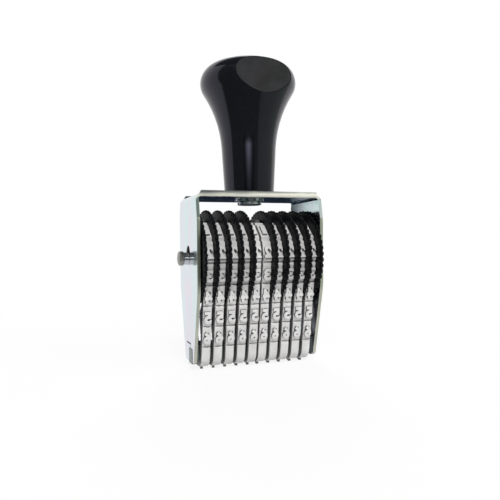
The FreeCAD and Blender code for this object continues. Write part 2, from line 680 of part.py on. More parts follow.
def knob_section(sketch):
    """Half the outline of the knob: a crown, a rounded edge, a flare and a tapered stem, all tangent.

    The arcs are first drawn where they belong, worked out from the sheet, and then held by it.
    """
    foot = fit("frame_top")
    edge = size("head_edge")
    crown = Vector(0, foot + size("handle_height"), 0)
    head = Vector(size("head_radius") - edge, foot + size("head_level"), 0)
    neck = Vector(size("neck_radius"), foot + size("neck_height"), 0)
    corner = Vector(size("foot_radius"), foot, 0)

    drop = crown.y - head.y
    crown_radius = (head.x ** 2 + drop ** 2 - edge ** 2) / (2 * (drop - edge))
    crown_centre = crown - Y_AXIS * crown_radius
    upper = head + (head - crown_centre).normalize() * edge

    stem = (neck - corner).normalize()
    outward = stem.cross(Z_AXIS)
    span = neck - head
    flare_radius = (span.dot(span) - edge ** 2) / (2 * (edge - outward.dot(span)))
    flare_centre = neck + outward * flare_radius
    lower = head + (flare_centre - head).normalize() * edge

    def turn(centre, point):
        return math.atan2(point.y - centre.y, point.x - centre.x)

    top_arc = sketch.addGeometry(Part.ArcOfCircle(
        Part.Circle(crown_centre, Z_AXIS, crown_radius), turn(crown_centre, upper), math.pi / 2))
    edge_arc = sketch.addGeometry(Part.ArcOfCircle(
        Part.Circle(head, Z_AXIS, edge), turn(head, lower), turn(head, upper)))
    flare_arc = sketch.addGeometry(Part.ArcOfCircle(
        Part.Circle(flare_centre, Z_AXIS, flare_radius),
        turn(flare_centre, lower) % (2 * math.pi), turn(flare_centre, neck) % (2 * math.pi)))
    side = sketch.addGeometry(Part.LineSegment(neck, corner))
    base = sketch.addGeometry(Part.LineSegment(corner, Vector(0, foot, 0)))
    axis = sketch.addGeometry(Part.LineSegment(Vector(0, foot, 0), crown))
    join(sketch, "Tangent", (top_arc, 1, edge_arc, 2), (edge_arc, 1, flare_arc, 1),
         (flare_arc, 2, side, 1))
    join(sketch, "Coincident", (side, 2, base, 1), (base, 2, axis, 1), (axis, 2, top_arc, 2))
    number = sketch.addConstraint(Sketcher.Constraint("Radius", edge_arc, edge))
    sketch.setExpression(f"Constraints[{number}]", "Sizes.head_edge")
    sketch.addConstraint(Sketcher.Constraint("PointOnObject", top_arc, 3, -2))
    hold(sketch, edge_arc, 3, "Sizes.head_radius - Sizes.head_edge", "Fits.frame_top + Sizes.head_level")
    hold(sketch, side, 1, "Sizes.neck_radius", "Fits.frame_top + Sizes.neck_height")
    hold(sketch, side, 2, "Sizes.foot_radius", "Fits.frame_top")
    hold(sketch, axis, 1, "0", "Fits.frame_top")
    hold(sketch, axis, 2, "0", "Fits.frame_top + Sizes.handle_height")


def make_handle():
    """The moulded knob, with a flat spot on the front of its head and a bore for the insert."""
    body = new_body("handle")
    section = new_sketch(body, "knob_section", "XZ_Plane")
    knob_section(section)
    revolve(body, section, "knob", "Z_Axis")

    spot = new_sketch(body, "spot_outline", "XZ_Plane")
    spot.AttachmentOffset.Rotation = (FreeCAD.Rotation(Y_AXIS, SPOT_TURN)
                                      * FreeCAD.Rotation(X_AXIS, -SPOT_TILT))
    spot.setExpression("AttachmentOffset.Base.x", f"Sizes.spot_distance * sin({SPOT_TURN} deg)")
    spot.setExpression("AttachmentOffset.Base.y", "Fits.frame_top + Sizes.head_level")
    spot.setExpression("AttachmentOffset.Base.z", f"Sizes.spot_distance * cos({SPOT_TURN} deg)")
    outline(spot, [("-Sizes.head_radius", "-Sizes.head_radius"), ("Sizes.head_radius", "-Sizes.head_radius"),
                   ("Sizes.head_radius", "Sizes.head_radius"), ("-Sizes.head_radius", "Sizes.head_radius")])
    cut_to(body, spot, "flat_spot", "Sizes.head_radius", backwards=True)

    bore = new_sketch(body, "insert_bore_outline", "XY_Plane", "Fits.frame_top")
    circle(bore, "0", "0", "Sizes.insert_diameter / 2")
    cut_to(body, bore, "insert_bore", "Sizes.insert_length", backwards=True)
    return body


def make_handle_insert():
    """The threaded insert in the foot of the handle."""
    body = new_body("handle_insert")
    section = new_sketch(body, "insert_section", "XZ_Plane")
    inside = "Sizes.screw_diameter / 2 + Sizes.screw_play"
    outside = "Sizes.insert_diameter / 2"
    outline(section, [
        (inside, "Fits.frame_top"),
        (outside, "Fits.frame_top"),
        (outside, "Fits.frame_top + Sizes.insert_length"),
        (inside, "Fits.frame_top + Sizes.insert_length"),
    ])
    revolve(body, section, "insert_turned", "Z_Axis")
    return body


def make_handle_screw():
    """The pan-head screw that comes up through the roof."""
    body = new_body("handle_screw")
    shank = new_sketch(body, "shank_outline", "XY_Plane", "Fits.screw_head_top")
    circle(shank, "0", "0", "Sizes.screw_diameter / 2")
    pad(body, shank, "shank", "Fits.screw_length")
    head = new_sketch(body, "head_outline", "XY_Plane", "Fits.screw_head_top")
    circle(head, "0", "0", "Sizes.screw_head_diameter / 2")
    pad(body, head, "head", "Sizes.screw_head_height", backwards=True)
    slot = new_sketch(body, "driver_slot_outline", "XY_Plane",
                      "Fits.screw_head_top - Sizes.screw_head_height")
    outline(slot, [
        ("-Sizes.screw_head_diameter", "-Sizes.driver_slot_width / 2"),
        ("Sizes.screw_head_diameter", "-Sizes.driver_slot_width / 2"),
        ("Sizes.screw_head_diameter", "Sizes.driver_slot_width / 2"),
        ("-Sizes.screw_head_diameter", "Sizes.driver_slot_width / 2"),
    ])
    cut_to(body, slot, "driver_slot", "Sizes.driver_slot_depth", backwards=True)
    return body


def make_lock_washer():
    """The toothed washer between the screw's head and the roof."""
    body = new_body("lock_washer")
    ring = new_sketch(body, "ring_outline", "XY_Plane", "Fits.screw_head_top")
    circle(ring, "0", "0", "Sizes.washer_diameter / 2")
    circle(ring, "0", "0", "Sizes.screw_diameter / 2 + Sizes.screw_play")
    pad(body, ring, "ring", "Sizes.washer_thickness")
    notch = new_sketch(body, "washer_notch_outline", "XY_Plane", "Fits.roof_underside + Sizes.overrun")
    outline(notch, [
        ("Sizes.washer_diameter / 2 - Sizes.washer_notch", "0"),
        ("Sizes.washer_diameter / 2 + Sizes.overrun", "-Sizes.washer_notch"),
        ("Sizes.washer_diameter / 2 + Sizes.overrun", "Sizes.washer_notch"),
    ])
    first_notch = cut_to(body, notch, "washer_notch", "Sizes.washer_thickness + 2 * Sizes.overrun")
    repeat_round(body, first_notch, "washer_teeth", "Z_Axis", "Sizes.washer_teeth")
    return body


def make_units():
    """The bands with their thumbwheels, counted from the left; the middle pair is back to back."""
    shape = band_shape()
    for number in range(1, 2 * UNITS_EACH_SIDE + 1):
        side = -1 if number <= UNITS_EACH_SIDE else 1
        steps = UNITS_EACH_SIDE - number if side < 0 else number - UNITS_EACH_SIDE - 1
        place = f"{side} * (Fits.middle_gap / 2 + {steps} * Fits.unit_pitch)"
        make_band(f"band_{number}", shape, place)
        make_thumbwheel(f"thumbwheel_{number}", place, side)


make_frame()
make_handle()
make_handle_insert()
make_handle_screw()
make_lock_washer()
make_axle()
make_axle_cap("axle_cap_left", -1)
make_axle_cap("axle_cap_right", 1)
make_platen()
make_units()
doc.recompute()

for item in doc.Objects:
    if "Invalid" in item.State or "Error" in item.State:
        raise RuntimeError(f"{item.Label} did not compute: {item.State}")
for part in parts:
    if part.Shape.isNull() or not part.Shape.isValid():
        raise RuntimeError(f"{part.Label} has no valid shape")
os.makedirs("parts", exist_ok=True)
for part in parts:
    part.Shape.exportStep(f"parts/{part.Label}.step")
    print(part.Label, "volume", round(part.Shape.Volume, 1), "solids", len(part.Shape.Solids))
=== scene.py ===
# %% [markdown]
# A hand stamp with ten rubber number bands, dressed for its picture.
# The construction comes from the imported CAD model: every piece has its true size and place there, in
# metres, with z = 0 in the plane of the digits that print. This file adds what CAD leaves out: the
# finish of each surface, the soft edges that catch the light, the digits on the bands and the teeth
# of the wheels.

import math

import bpy
from mathutils import Matrix, Vector


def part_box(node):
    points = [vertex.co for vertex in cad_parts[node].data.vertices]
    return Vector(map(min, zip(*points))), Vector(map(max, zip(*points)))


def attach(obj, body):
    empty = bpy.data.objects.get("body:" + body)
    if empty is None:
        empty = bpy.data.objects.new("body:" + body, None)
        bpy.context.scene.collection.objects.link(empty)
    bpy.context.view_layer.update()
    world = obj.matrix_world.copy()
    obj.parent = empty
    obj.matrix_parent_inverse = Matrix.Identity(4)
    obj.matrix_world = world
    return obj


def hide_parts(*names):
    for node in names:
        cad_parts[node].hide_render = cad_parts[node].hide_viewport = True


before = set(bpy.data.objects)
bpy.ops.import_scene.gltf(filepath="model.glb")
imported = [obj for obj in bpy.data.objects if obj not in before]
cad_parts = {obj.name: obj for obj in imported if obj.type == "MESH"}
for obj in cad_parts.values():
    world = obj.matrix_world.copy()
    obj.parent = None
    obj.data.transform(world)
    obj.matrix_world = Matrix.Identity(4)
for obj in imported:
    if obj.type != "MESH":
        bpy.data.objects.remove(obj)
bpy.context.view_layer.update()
MM = 0.001
UNITS = range(1, 11)

# %% [markdown]
# A few helpers come first. Colours are written as sRGB hex values, the way a paint card gives them,
# and one function turns them to the linear numbers that the renderer works in. One small function
# adds a shader node with its settings and links, so that a material reads as a short list. Two more
# add what most of the materials have: soft clouds in their colour and a fine grain.

# %% Helpers for colours, nodes and objects
GRAIN_DEPTH = 0.00003


def colour(code):
    """Linear RGBA of an sRGB hex colour."""
    values = [int(code[place:place + 2], 16) / 255 for place in (1, 3, 5)]
    linear = [v / 12.92 if v <= 0.04045 else ((v + 0.055) / 1.055) ** 2.4 for v in values]
    return (*linear, 1)


def add_node(tree, kind, settings=None, **links):
    """A shader node; settings are its options, links its sockets by name, as a value or an output."""
    node = tree.nodes.new(kind)
    for name, value in (settings or {}).items():
        setattr(node, name, value)
    for name, value in links.items():
        socket = node.inputs[int(name[1:])] if name[0] == "_" else node.inputs[name.replace("_", " ")]
        if isinstance(value, bpy.types.NodeSocket):
            tree.links.new(value, socket)
        else:
            socket.default_value = value
    return node


def new_material(name, **sockets):
    """A material whose one shader has these sockets set."""
    material = bpy.data.materials.new(name)
    material.use_nodes = True
    shader = material.node_tree.nodes["Principled BSDF"]
    for socket, value in sockets.items():
        shader.inputs[socket.replace("_", " ")].default_value = value
    return material, material.node_tree, shader


def dress(piece, material):
    """Give a whole piece one material."""
    piece.data.materials.clear()
    piece.data.materials.append(material)


def ramp(tree, source, stops):
    """A colour ramp with its stops as (place, colour)."""
    node = add_node(tree, "ShaderNodeValToRGB", Fac=source)
    elements = node.color_ramp.elements
    while len(elements) < len(stops):
        elements.new(0.5)
    for element, (place, shade) in zip(elements, stops):
        element.position = place
        element.color = shade
    return node.outputs["Color"]


def add_clouds(tree, shader, where, scale, detail, stops):
    """Soft patches in the base colour: noise at the output where, coloured by the stops of a ramp."""
    cloud = add_node(tree, "ShaderNodeTexNoise", Vector=where, Scale=scale, Detail=detail)
    shade = ramp(tree, cloud.outputs["Fac"], stops)
    tree.links.new(shade, shader.inputs["Base Color"])


def add_grain(tree, shader, where, scale, detail, strength, depth=GRAIN_DEPTH):
    """A fine unevenness of the surface: noise at the output where, as a bump."""
    grain = add_node(tree, "ShaderNodeTexNoise", Vector=where, Scale=scale, Detail=detail)
    bump = add_node(tree, "ShaderNodeBump", Strength=strength, Distance=depth, Height=grain.outputs["Fac"])
    tree.links.new(bump.outputs["Normal"], shader.inputs["Normal"])


# %% [markdown]
# Most of the new pieces are shaped in edit mode. The operators there act on what is selected, so two
# helpers open a piece with only the wanted faces, edges or points selected, and close it again. Two
# places nearer than NEAR, in metres, count as one. A face looks along a direction when the cosine of
# the angle between them is above ALONG, and exactly along it when that is above SQUARE_TO.

# %% Helpers for modelling
NEAR = 1e-6
VERY_NEAR = 1e-7
ALONG = 0.9
SQUARE_TO = 0.999


def deselect():
    """Nothing selected and no piece open, which is how every new piece starts."""
    if bpy.context.object and bpy.context.object.mode == "EDIT":
        bpy.ops.object.mode_set(mode="OBJECT")
    bpy.ops.object.select_all(action="DESELECT")


def choose(piece):
    """Select one piece and nothing else."""
    deselect()
    piece.select_set(True)
    bpy.context.view_layer.objects.active = piece


def pick(piece, kind, test):
    """Open a piece in edit mode with its faces, edges or points selected whose middle passes a test."""
    choose(piece)
    mesh = piece.data
    groups = {"VERT": mesh.vertices, "EDGE": mesh.edges, "FACE": mesh.polygons}
    for group in groups.values():
        for item in group:
            item.select = False
    for item in groups[kind]:
        if kind == "VERT":
            middle = item.co
        elif kind == "EDGE":
            middle = sum((mesh.vertices[index].co for index in item.vertices), Vector()) / 2
        else:
            middle = item.center
        item.select = test(middle, item)
    bpy.context.tool_settings.mesh_select_mode = [kind == name for name in groups]
    bpy.ops.object.mode_set(mode="EDIT")


def close(piece):
    """Back to object mode, with the faces turned outward."""
    bpy.ops.mesh.select_all(action="SELECT")
    bpy.ops.mesh.normals_make_consistent(inside=False)
    bpy.ops.object.mode_set(mode="OBJECT")
    return piece


def merge_points(piece, distance):
    """Join the points of a piece that lie closer together than a distance."""
    pick(piece, "FACE", lambda middle, face: True)
    bpy.ops.mesh.remove_doubles(threshold=distance)
    close(piece)


def join_pieces(pieces):
    """Join pieces into the first of them."""
    deselect()
    for piece in pieces:
        piece.select_set(True)
    bpy.context.view_layer.objects.active = pieces[0]
    bpy.ops.object.join()
    return pieces[0]


def lathe(name, rings, segments):
    """A closed turned form about z: a circle, extruded and resized from ring to ring."""
    deselect()
    radius, level = rings[0]
    bpy.ops.mesh.primitive_circle_add(vertices=segments, radius=radius, location=(0, 0, level))
    piece = bpy.context.object
    piece.name = name
    bpy.ops.object.transform_apply()
    bpy.ops.object.mode_set(mode="EDIT")
    bpy.ops.mesh.select_all(action="SELECT")
    bpy.ops.mesh.edge_face_add()
    bpy.context.tool_settings.mesh_select_mode = (False, True, False)
    bpy.ops.mesh.select_all(action="SELECT")
    for next_radius, next_level in rings[1:]:
        bpy.ops.mesh.extrude_edges_move(TRANSFORM_OT_translate={"value": (0, 0, next_level - level)})
        share = next_radius / radius
        bpy.ops.transform.resize(value=(share, share, 1), center_override=(0, 0, next_level))
        radius, level = next_radius, next_level
    bpy.ops.mesh.edge_face_add()
    return close(piece)


def join_ends(piece):
    """Take the end faces off a turned form and join its last ring to its first."""
    pick(piece, "FACE", lambda middle, face: len(face.vertices) > 4)
    bpy.ops.mesh.delete(type="ONLY_FACE")
    bpy.ops.mesh.select_all(action="SELECT")
    bpy.ops.mesh.remove_doubles(threshold=NEAR)
    close(piece)


def lay_along_x(piece):
    """Turn a form made about z onto the x axis, with its places kept in the mesh."""
    choose(piece)
    piece.rotation_euler = (0, math.pi / 2, 0)
    bpy.ops.object.transform_apply()
    return piece


def copy_piece(source, name):
    """A copy with a mesh of its own."""
    twin = source.copy()
    twin.data = source.data.copy()
    twin.name = name
    bpy.context.scene.collection.objects.link(twin)
    return twin


def finish_piece(piece, body, node, material, angle=math.radians(35)):
    """Smooth a piece but keep its large faces flat, dress it and let it stand for its CAD node."""
    choose(piece)
    bpy.ops.object.shade_smooth_by_angle(angle=angle)
    flat = piece.modifiers.new("flat_faces", "WEIGHTED_NORMAL")
    flat.keep_sharp = True
    flat.weight = 100
    bpy.ops.object.modifier_apply(modifier=flat.name)
    if material:
        dress(piece, material)
    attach(piece, body)
    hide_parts(node)
    return piece


# %% [markdown]
# The camera stands where the photographer stood, a little to the left of the stamp and level with the
# lower half of the wheels. Its place was worked out from forty points of the frame, the axle, the
# bands and the wheels in the photograph. The picture is very slightly turned, which is a roll of the
# camera.

# %% Camera
VIEW_DISTANCE = 141.5 * MM
VIEW_TURN = math.radians(19.55)
VIEW_TILT = math.radians(0.46)
VIEW_ROLL = math.radians(0.76)
VIEW_CENTRE = Vector((0, 0, 29.43 * MM))
FOCAL_PIXELS = 543
PHOTO_WIDTH = 500

camera_data = bpy.data.cameras.new("camera")
camera_data.sensor_width = 36
camera_data.lens = FOCAL_PIXELS / PHOTO_WIDTH * camera_data.sensor_width
camera_data.clip_start = 1 * MM
camera = bpy.data.objects.new("camera", camera_data)
bpy.context.scene.collection.objects.link(camera)
look = Matrix.Rotation(-VIEW_TURN, 4, "Z") @ Matrix.Rotation(math.pi / 2 - VIEW_TILT, 4, "X")
camera.matrix_world = (Matrix.Translation(VIEW_CENTRE) @ look
                       @ Matrix.Translation((0, 0, VIEW_DISTANCE)) @ Matrix.Rotation(-VIEW_ROLL, 4, "Z"))
bpy.context.scene.camera = camera
print("camera at", [round(value / MM, 1) for value in camera.matrix_world.translation])

# %% [markdown]
# A small studio: a pale floor that takes the shadow, a white world behind it, a soft lamp in front and
# above, and two weaker ones at the front right and behind. The floor and the world are white only to
# the eye and to reflections, so the white adds no light to the stamp. Away from the stamp the floor
# fades into the white of the world, so that no horizon shows.

# %% Floor, world and lamps
FLOOR_SIZE = 4
LIGHT_LEVEL = 0.3
FLOOR_WHITE = 0.86
FADE_START = 40 * MM
FADE_END = 160 * MM
LAMP_AIM = Vector((0, 0, 0.04))

bpy.ops.mesh.primitive_plane_add(size=FLOOR_SIZE, location=(0, 0, 0))
floor = bpy.context.object
floor.name = "floor"
floor_paint, tree, shader = new_material("pale_paper", Base_Color=colour("#EDEDED"), Roughness=0.9)
seen = add_node(tree, "ShaderNodeLightPath")
eye = add_node(tree, "ShaderNodeMath", {"operation": "MAXIMUM"},
               _0=seen.outputs["Is Camera Ray"], _1=seen.outputs["Is Glossy Ray"])
place = add_node(tree, "ShaderNodeTexCoord")
distance = add_node(tree, "ShaderNodeVectorMath", {"operation": "LENGTH"}, _0=place.outputs["Object"])
fade = add_node(tree, "ShaderNodeMapRange", Value=distance.outputs["Value"], From_Min=FADE_START,
                From_Max=FADE_END, To_Min=FLOOR_WHITE, To_Max=1.0)
share = add_node(tree, "ShaderNodeMath", {"operation": "MULTIPLY"}, _0=eye.outputs[0], _1=fade.outputs[0])
white = add_node(tree, "ShaderNodeEmission", Color=(1, 1, 1, 1), Strength=1.0)
mix = add_node(tree, "ShaderNodeMixShader", _0=share.outputs[0], _1=shader.outputs[0],
               _2=white.outputs[0])
tree.links.new(mix.outputs[0], tree.nodes["Material Output"].inputs["Surface"])
dress(floor, floor_paint)

world = bpy.data.worlds.new("studio")
world.use_nodes = True
bpy.context.scene.world = world
tree = world.node_tree
seen = add_node(tree, "ShaderNodeLightPath")
eye = add_node(tree, "ShaderNodeMath", {"operation": "MAXIMUM"},
               _0=seen.outputs["Is Camera Ray"], _1=seen.outputs["Is Glossy Ray"])
eye = add_node(tree, "ShaderNodeMath", {"operation": "MAXIMUM"},
               _0=eye.outputs[0], _1=seen.outputs["Is Transmission Ray"])
white = add_node(tree, "ShaderNodeBackground", Color=(1, 1, 1, 1), Strength=1.0)
soft = tree.nodes["Background"]
soft.inputs["Color"].default_value = (1, 1, 1, 1)
soft.inputs["Strength"].default_value = LIGHT_LEVEL
mix = add_node(tree, "ShaderNodeMixShader", _0=eye.outputs[0], _1=soft.outputs[0], _2=white.outputs[0])
tree.links.new(mix.outputs[0], tree.nodes["World Output"].inputs["Surface"])


def add_lamp(name, place, width, height, power):
    """A soft rectangular lamp at a place in metres, turned to face the stamp."""
    data = bpy.data.lights.new(name, "AREA")
    data.shape = "RECTANGLE"
    data.size = width
    data.size_y = height
    data.energy = power
    lamp = bpy.data.objects.new(name, data)
    bpy.context.scene.collection.objects.link(lamp)
    direction = LAMP_AIM - Vector(place)
    lamp.matrix_world = Matrix.Translation(place) @ direction.to_track_quat("-Z", "Y").to_matrix().to_4x4()
    return lamp


add_lamp("key", (-0.1, -0.55, 0.6), 0.3, 0.15, 4.8).visible_glossy = False
add_lamp("fill", (0.5, -0.5, 0.3), 0.4, 0.4, 1.5)
add_lamp("back", (0.2, 0.65, 0.4), 0.4, 0.4, 3.5).visible_glossy = False

# %% [markdown]
# Gloss black and bright metal look like what stands around them. A photographer puts black cards
# round such things, out of the picture, so that they get dark parts with crisp edges. A tent stands
# round the front from the far left to the far right and leaves the back open. It is dark on the left
# and in front, and grey on the right. A darker sheet hangs above, and a low card stands close behind,
# where the underside of the roof looks at it. A soft light in front draws the highlight that runs up
# the stem of the handle, and a narrow one high on the left those on its head and on the end of the
# axle. All of these are seen in reflections only.

# %% Cards and a soft light, for reflections only
TENT_RADIUS = 0.7
TENT_HEIGHT = 1.0
TENT_GAP = 0.05
TENT_SEGMENTS = 360
TENT_FIRST = math.radians(-92)
TENT_LAST = math.radians(100)
GREY_FIRST = math.radians(14)
GREY_LAST = math.radians(24)
DARK_LEVEL = 0.2
GREY_LEVEL = 0.6
SKY_LEVEL = 0.12
LOW_LEVEL = 0.03
LOW_CARD = Vector((24, 60, 25)) * MM
LOW_CARD_WIDTH = 72 * MM
LOW_CARD_HEIGHT = 50 * MM
GLOW = Vector((-170, -480, 105)) * MM
GLOW_WIDTH = 400 * MM
GLOW_HEIGHT = 160 * MM
GLOW_LEVEL = 6
STREAK = Vector((-640, -370, 820)) * MM
STREAK_WIDTH = 220 * MM
STREAK_HEIGHT = 60 * MM
STREAK_LEVEL = 25


def make_card(card, tint, level):
    """Let only reflections see a card, and light it; level gives its strength, a number or an output."""
    card.visible_camera = False
    card.visible_diffuse = False
    card.visible_shadow = False
    card.visible_transmission = False
    paint = bpy.data.materials.new(card.name + "_paint")
    paint.use_nodes = True
    tree = paint.node_tree
    tree.nodes.remove(tree.nodes["Principled BSDF"])
    place = add_node(tree, "ShaderNodeTexCoord")
    light = add_node(tree, "ShaderNodeEmission", Color=tint, Strength=level(tree, place))
    tree.links.new(light.outputs[0], tree.nodes["Material Output"].inputs["Surface"])
    dress(card, paint)


def add_card(name, place, width, height, aim):
    """A rectangle at a place, turned to face a point."""
    deselect()
    bpy.ops.mesh.primitive_plane_add(size=1, location=place)
    card = bpy.context.object
    card.name = name
    card.scale = (width, height, 1)
    card.rotation_euler = (Vector(aim) - Vector(place)).to_track_quat("Z", "Y").to_euler()
    return card


def tent_level(tree, place):
    """Dark in front and grey on the right, with a soft change between them."""
    split = add_node(tree, "ShaderNodeSeparateXYZ", Vector=place.outputs["Object"])
    front = add_node(tree, "ShaderNodeMath", {"operation": "MULTIPLY"}, _0=split.outputs["Y"], _1=-1.0)
    turn = add_node(tree, "ShaderNodeMath", {"operation": "ARCTAN2"}, _0=split.outputs["X"],
                    _1=front.outputs[0])
    change = add_node(tree, "ShaderNodeMapRange", {"interpolation_type": "SMOOTHSTEP"}, Value=turn.outputs[0],
                      From_Min=GREY_FIRST, From_Max=GREY_LAST, To_Min=DARK_LEVEL, To_Max=GREY_LEVEL)
    return change.outputs["Result"]


def glow_level(tree, place):
    """Brightest in the middle and nothing at the edge."""
    wide = add_node(tree, "ShaderNodeMapping", Vector=place.outputs["Object"], Scale=(2.0, 2.0, 2.0))
    spot = add_node(tree, "ShaderNodeTexGradient", {"gradient_type": "QUADRATIC_SPHERE"},
                    Vector=wide.outputs["Vector"])
    level = add_node(tree, "ShaderNodeMath", {"operation": "MULTIPLY"}, _0=spot.outputs["Fac"], _1=GLOW_LEVEL)
    return level.outputs[0]


tent = lathe("tent", [(TENT_GAP, MM), (TENT_RADIUS, MM), (TENT_RADIUS, TENT_HEIGHT)],
             TENT_SEGMENTS)


def outside_tent(middle, face):
    """Whether a face is the round floor or roof of the turned form, or lies in the open back."""
    return len(face.vertices) > 4 or not TENT_FIRST < math.atan2(middle.x, -middle.y) < TENT_LAST


pick(tent, "FACE", outside_tent)
bpy.ops.mesh.delete(type="FACE")
bpy.ops.object.mode_set(mode="OBJECT")
make_card(tent, (0.85, 0.95, 0.8, 1), tent_level)

sky = add_card("sky", (0, 0, TENT_HEIGHT), 2 * TENT_RADIUS, 2 * TENT_RADIUS, (0, 0, 0))
make_card(sky, (0.85, 0.9, 1, 1), lambda tree, place: SKY_LEVEL)
low_card = add_card("low_card", LOW_CARD, LOW_CARD_WIDTH, LOW_CARD_HEIGHT, LOW_CARD - Vector((0, MM, 0)))
make_card(low_card, (0.35, 0.55, 1, 1), lambda tree, place: LOW_LEVEL)
glow = add_card("glow", GLOW, GLOW_WIDTH, GLOW_HEIGHT, (0, 0, GLOW.z))
make_card(glow, (0.95, 0.95, 1, 1), glow_level)
streak = add_card("streak", STREAK, STREAK_WIDTH, STREAK_HEIGHT, (0, 0, 0))
make_card(streak, (1, 1, 1, 1), lambda tree, place: STREAK_LEVEL)

# %% [markdown]
# The handle is one moulding in black plastic. Its outline is four curves that run into each other
# without a corner: a shallow crown, a rounded edge, a long flare and a tapered stem. Three of them are
# arcs, so their centres follow from a few sizes of the moulding.

# %% Outline of the handle
ROOF_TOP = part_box("handle")[0].z
CROWN_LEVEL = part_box("handle")[1].z
FOOT_RADIUS = 6.35 * MM
NECK_RADIUS = 7.05 * MM
NECK_LEVEL = ROOF_TOP + 12.5 * MM
HEAD_RADIUS = 12.35 * MM
HEAD_LEVEL = ROOF_TOP + 29.1 * MM
HEAD_EDGE = 4.75 * MM
FOOT_ROUND = 0.25 * MM
ARC_STEP = math.radians(4)


def arc(centre, radius, start, end):
    """Places (radius, level) along an arc, without its first."""
    steps = max(2, round(abs(end - start) / ARC_STEP))
    turns = [start + (end - start) * step / steps for step in range(1, steps + 1)]
    return [(centre.x + radius * math.cos(turn), centre.y + radius * math.sin(turn)) for turn in turns]


def handle_outline():
    """From the foot up the stem, the flare and the head to the top of the crown."""
    head = Vector((HEAD_RADIUS - HEAD_EDGE, HEAD_LEVEL))
    drop = CROWN_LEVEL - HEAD_LEVEL
    crown_radius = (head.x ** 2 + drop ** 2 - HEAD_EDGE ** 2) / (2 * (drop - HEAD_EDGE))
    crown = Vector((0, CROWN_LEVEL - crown_radius))
    neck = Vector((NECK_RADIUS, NECK_LEVEL))
    stem = (neck - Vector((FOOT_RADIUS, ROOF_TOP))).normalized()
    outward = Vector((stem.y, -stem.x))
    span = neck - head
    flare_radius = (span.length_squared - HEAD_EDGE ** 2) / (2 * (HEAD_EDGE - outward.dot(span)))
    flare = neck + outward * flare_radius
    to_flare = flare - head
    lower = math.atan2(to_flare.y, to_flare.x)
    to_head = head - crown
    upper = math.atan2(to_head.y, to_head.x)
    start = math.atan2(-outward.y, -outward.x)
    places = [(FOOT_RADIUS - FOOT_ROUND, ROOF_TOP), (FOOT_RADIUS, ROOF_TOP + FOOT_ROUND),
              (NECK_RADIUS, NECK_LEVEL)]
    places += arc(flare, flare_radius, start % (2 * math.pi), (lower + math.pi) % (2 * math.pi))
    places += arc(head, HEAD_EDGE, lower, upper)
    places += arc(crown, crown_radius, upper, math.pi / 2 - TOP_OPENING / crown_radius)
    return places


# %% [markdown]
# The outline is turned about the middle, together with the bore for the threaded insert, which is
# closed at its upper end. The crown ends in a tiny flat, so that its last ring isn't a single point.

# %% Turn the handle
TOP_OPENING = 0.2 * MM
INSERT_RADIUS = 3.5 * MM
INSERT_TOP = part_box("handle_insert")[1].z
HANDLE_SEGMENTS = 128
bore = [(INSERT_RADIUS, INSERT_TOP), (INSERT_RADIUS, ROOF_TOP)]
knob = lathe("knob_handle", bore + handle_outline(), HANDLE_SEGMENTS)
print("handle rings", len(handle_outline()), "faces", len(knob.data.polygons))

# %% [markdown]
# A flat oval spot is moulded into the front of the head. It is cut with one plane and then sunk a
# little, in two steps, so that a fine rim is left round it.

# %% Cut the flat spot
SPOT_TURN = math.radians(4.8)
SPOT_TILT = math.radians(6.8)
SPOT_DISTANCE = 9.85 * MM
SPOT_RIM = 0.16 * MM
SPOT_RIM_DEPTH = 0.08 * MM
SPOT_STEPS = (0.25, 0.75)
SPOT_MERGE = 0.1 * MM
spot_normal = (Matrix.Rotation(SPOT_TURN, 3, "Z") @ Matrix.Rotation(-SPOT_TILT, 3, "X")) @ Vector((0, -1, 0))
spot_centre = Vector((math.sin(SPOT_TURN), -math.cos(SPOT_TURN), 0)) * SPOT_DISTANCE
spot_centre.z = HEAD_LEVEL
pick(knob, "FACE", lambda middle, face: True)
bpy.ops.mesh.bisect(plane_co=spot_centre, plane_no=spot_normal, use_fill=True, clear_outer=True,
                    threshold=VERY_NEAR)
close(knob)


def above_spot(point):
    """How far a point stands out in front of the plane that cut the spot."""
    return (point - spot_centre).dot(spot_normal)


def is_spot(middle, face, depth=0):
    """Whether a face is the spot, sunk to a depth behind that plane."""
    return abs(above_spot(middle) + depth) < NEAR and face.normal.dot(spot_normal) > SQUARE_TO


pick(knob, "VERT", lambda middle, point: above_spot(middle) > -NEAR)
bpy.ops.mesh.remove_doubles(threshold=SPOT_MERGE)
close(knob)
pick(knob, "FACE", is_spot)
for depth in SPOT_STEPS:
    bpy.ops.mesh.inset(thickness=SPOT_RIM / 2)
    bpy.ops.transform.translate(value=-spot_normal * SPOT_RIM_DEPTH * depth)
bpy.ops.mesh.inset(thickness=SPOT_RIM / 4)
close(knob)
print("handle faces", len(knob.data.polygons))

# %% [markdown]
# The gloss black is a polished moulding: a dark base that is almost never seen by itself, under a
# clear reflection. Very slight waviness in the bump keeps its reflections from looking drawn with a
# ruler. The spot is fine matt, as a spark-eroded patch in the mould leaves it.

# %% Handle materials
gloss_black, tree, shader = new_material("polished_black_plastic", Base_Color=colour("#0C0D10"),
                                         Roughness=0.09, IOR=1.5, Specular_Tint=colour("#CFCFEA"))
place = add_node(tree, "ShaderNodeTexCoord")
add_grain(tree, shader, place.outputs["Object"], scale=90.0, detail=2.0, strength=0.12, depth=0.0002)
wear = add_node(tree, "ShaderNodeTexNoise", Vector=place.outputs["Object"], Scale=700.0, Detail=4.0)
haze = add_node(tree, "ShaderNodeMapRange", Value=wear.outputs["Fac"], To_Min=0.06, To_Max=0.16)
tree.links.new(haze.outputs["Result"], shader.inputs["Roughness"])

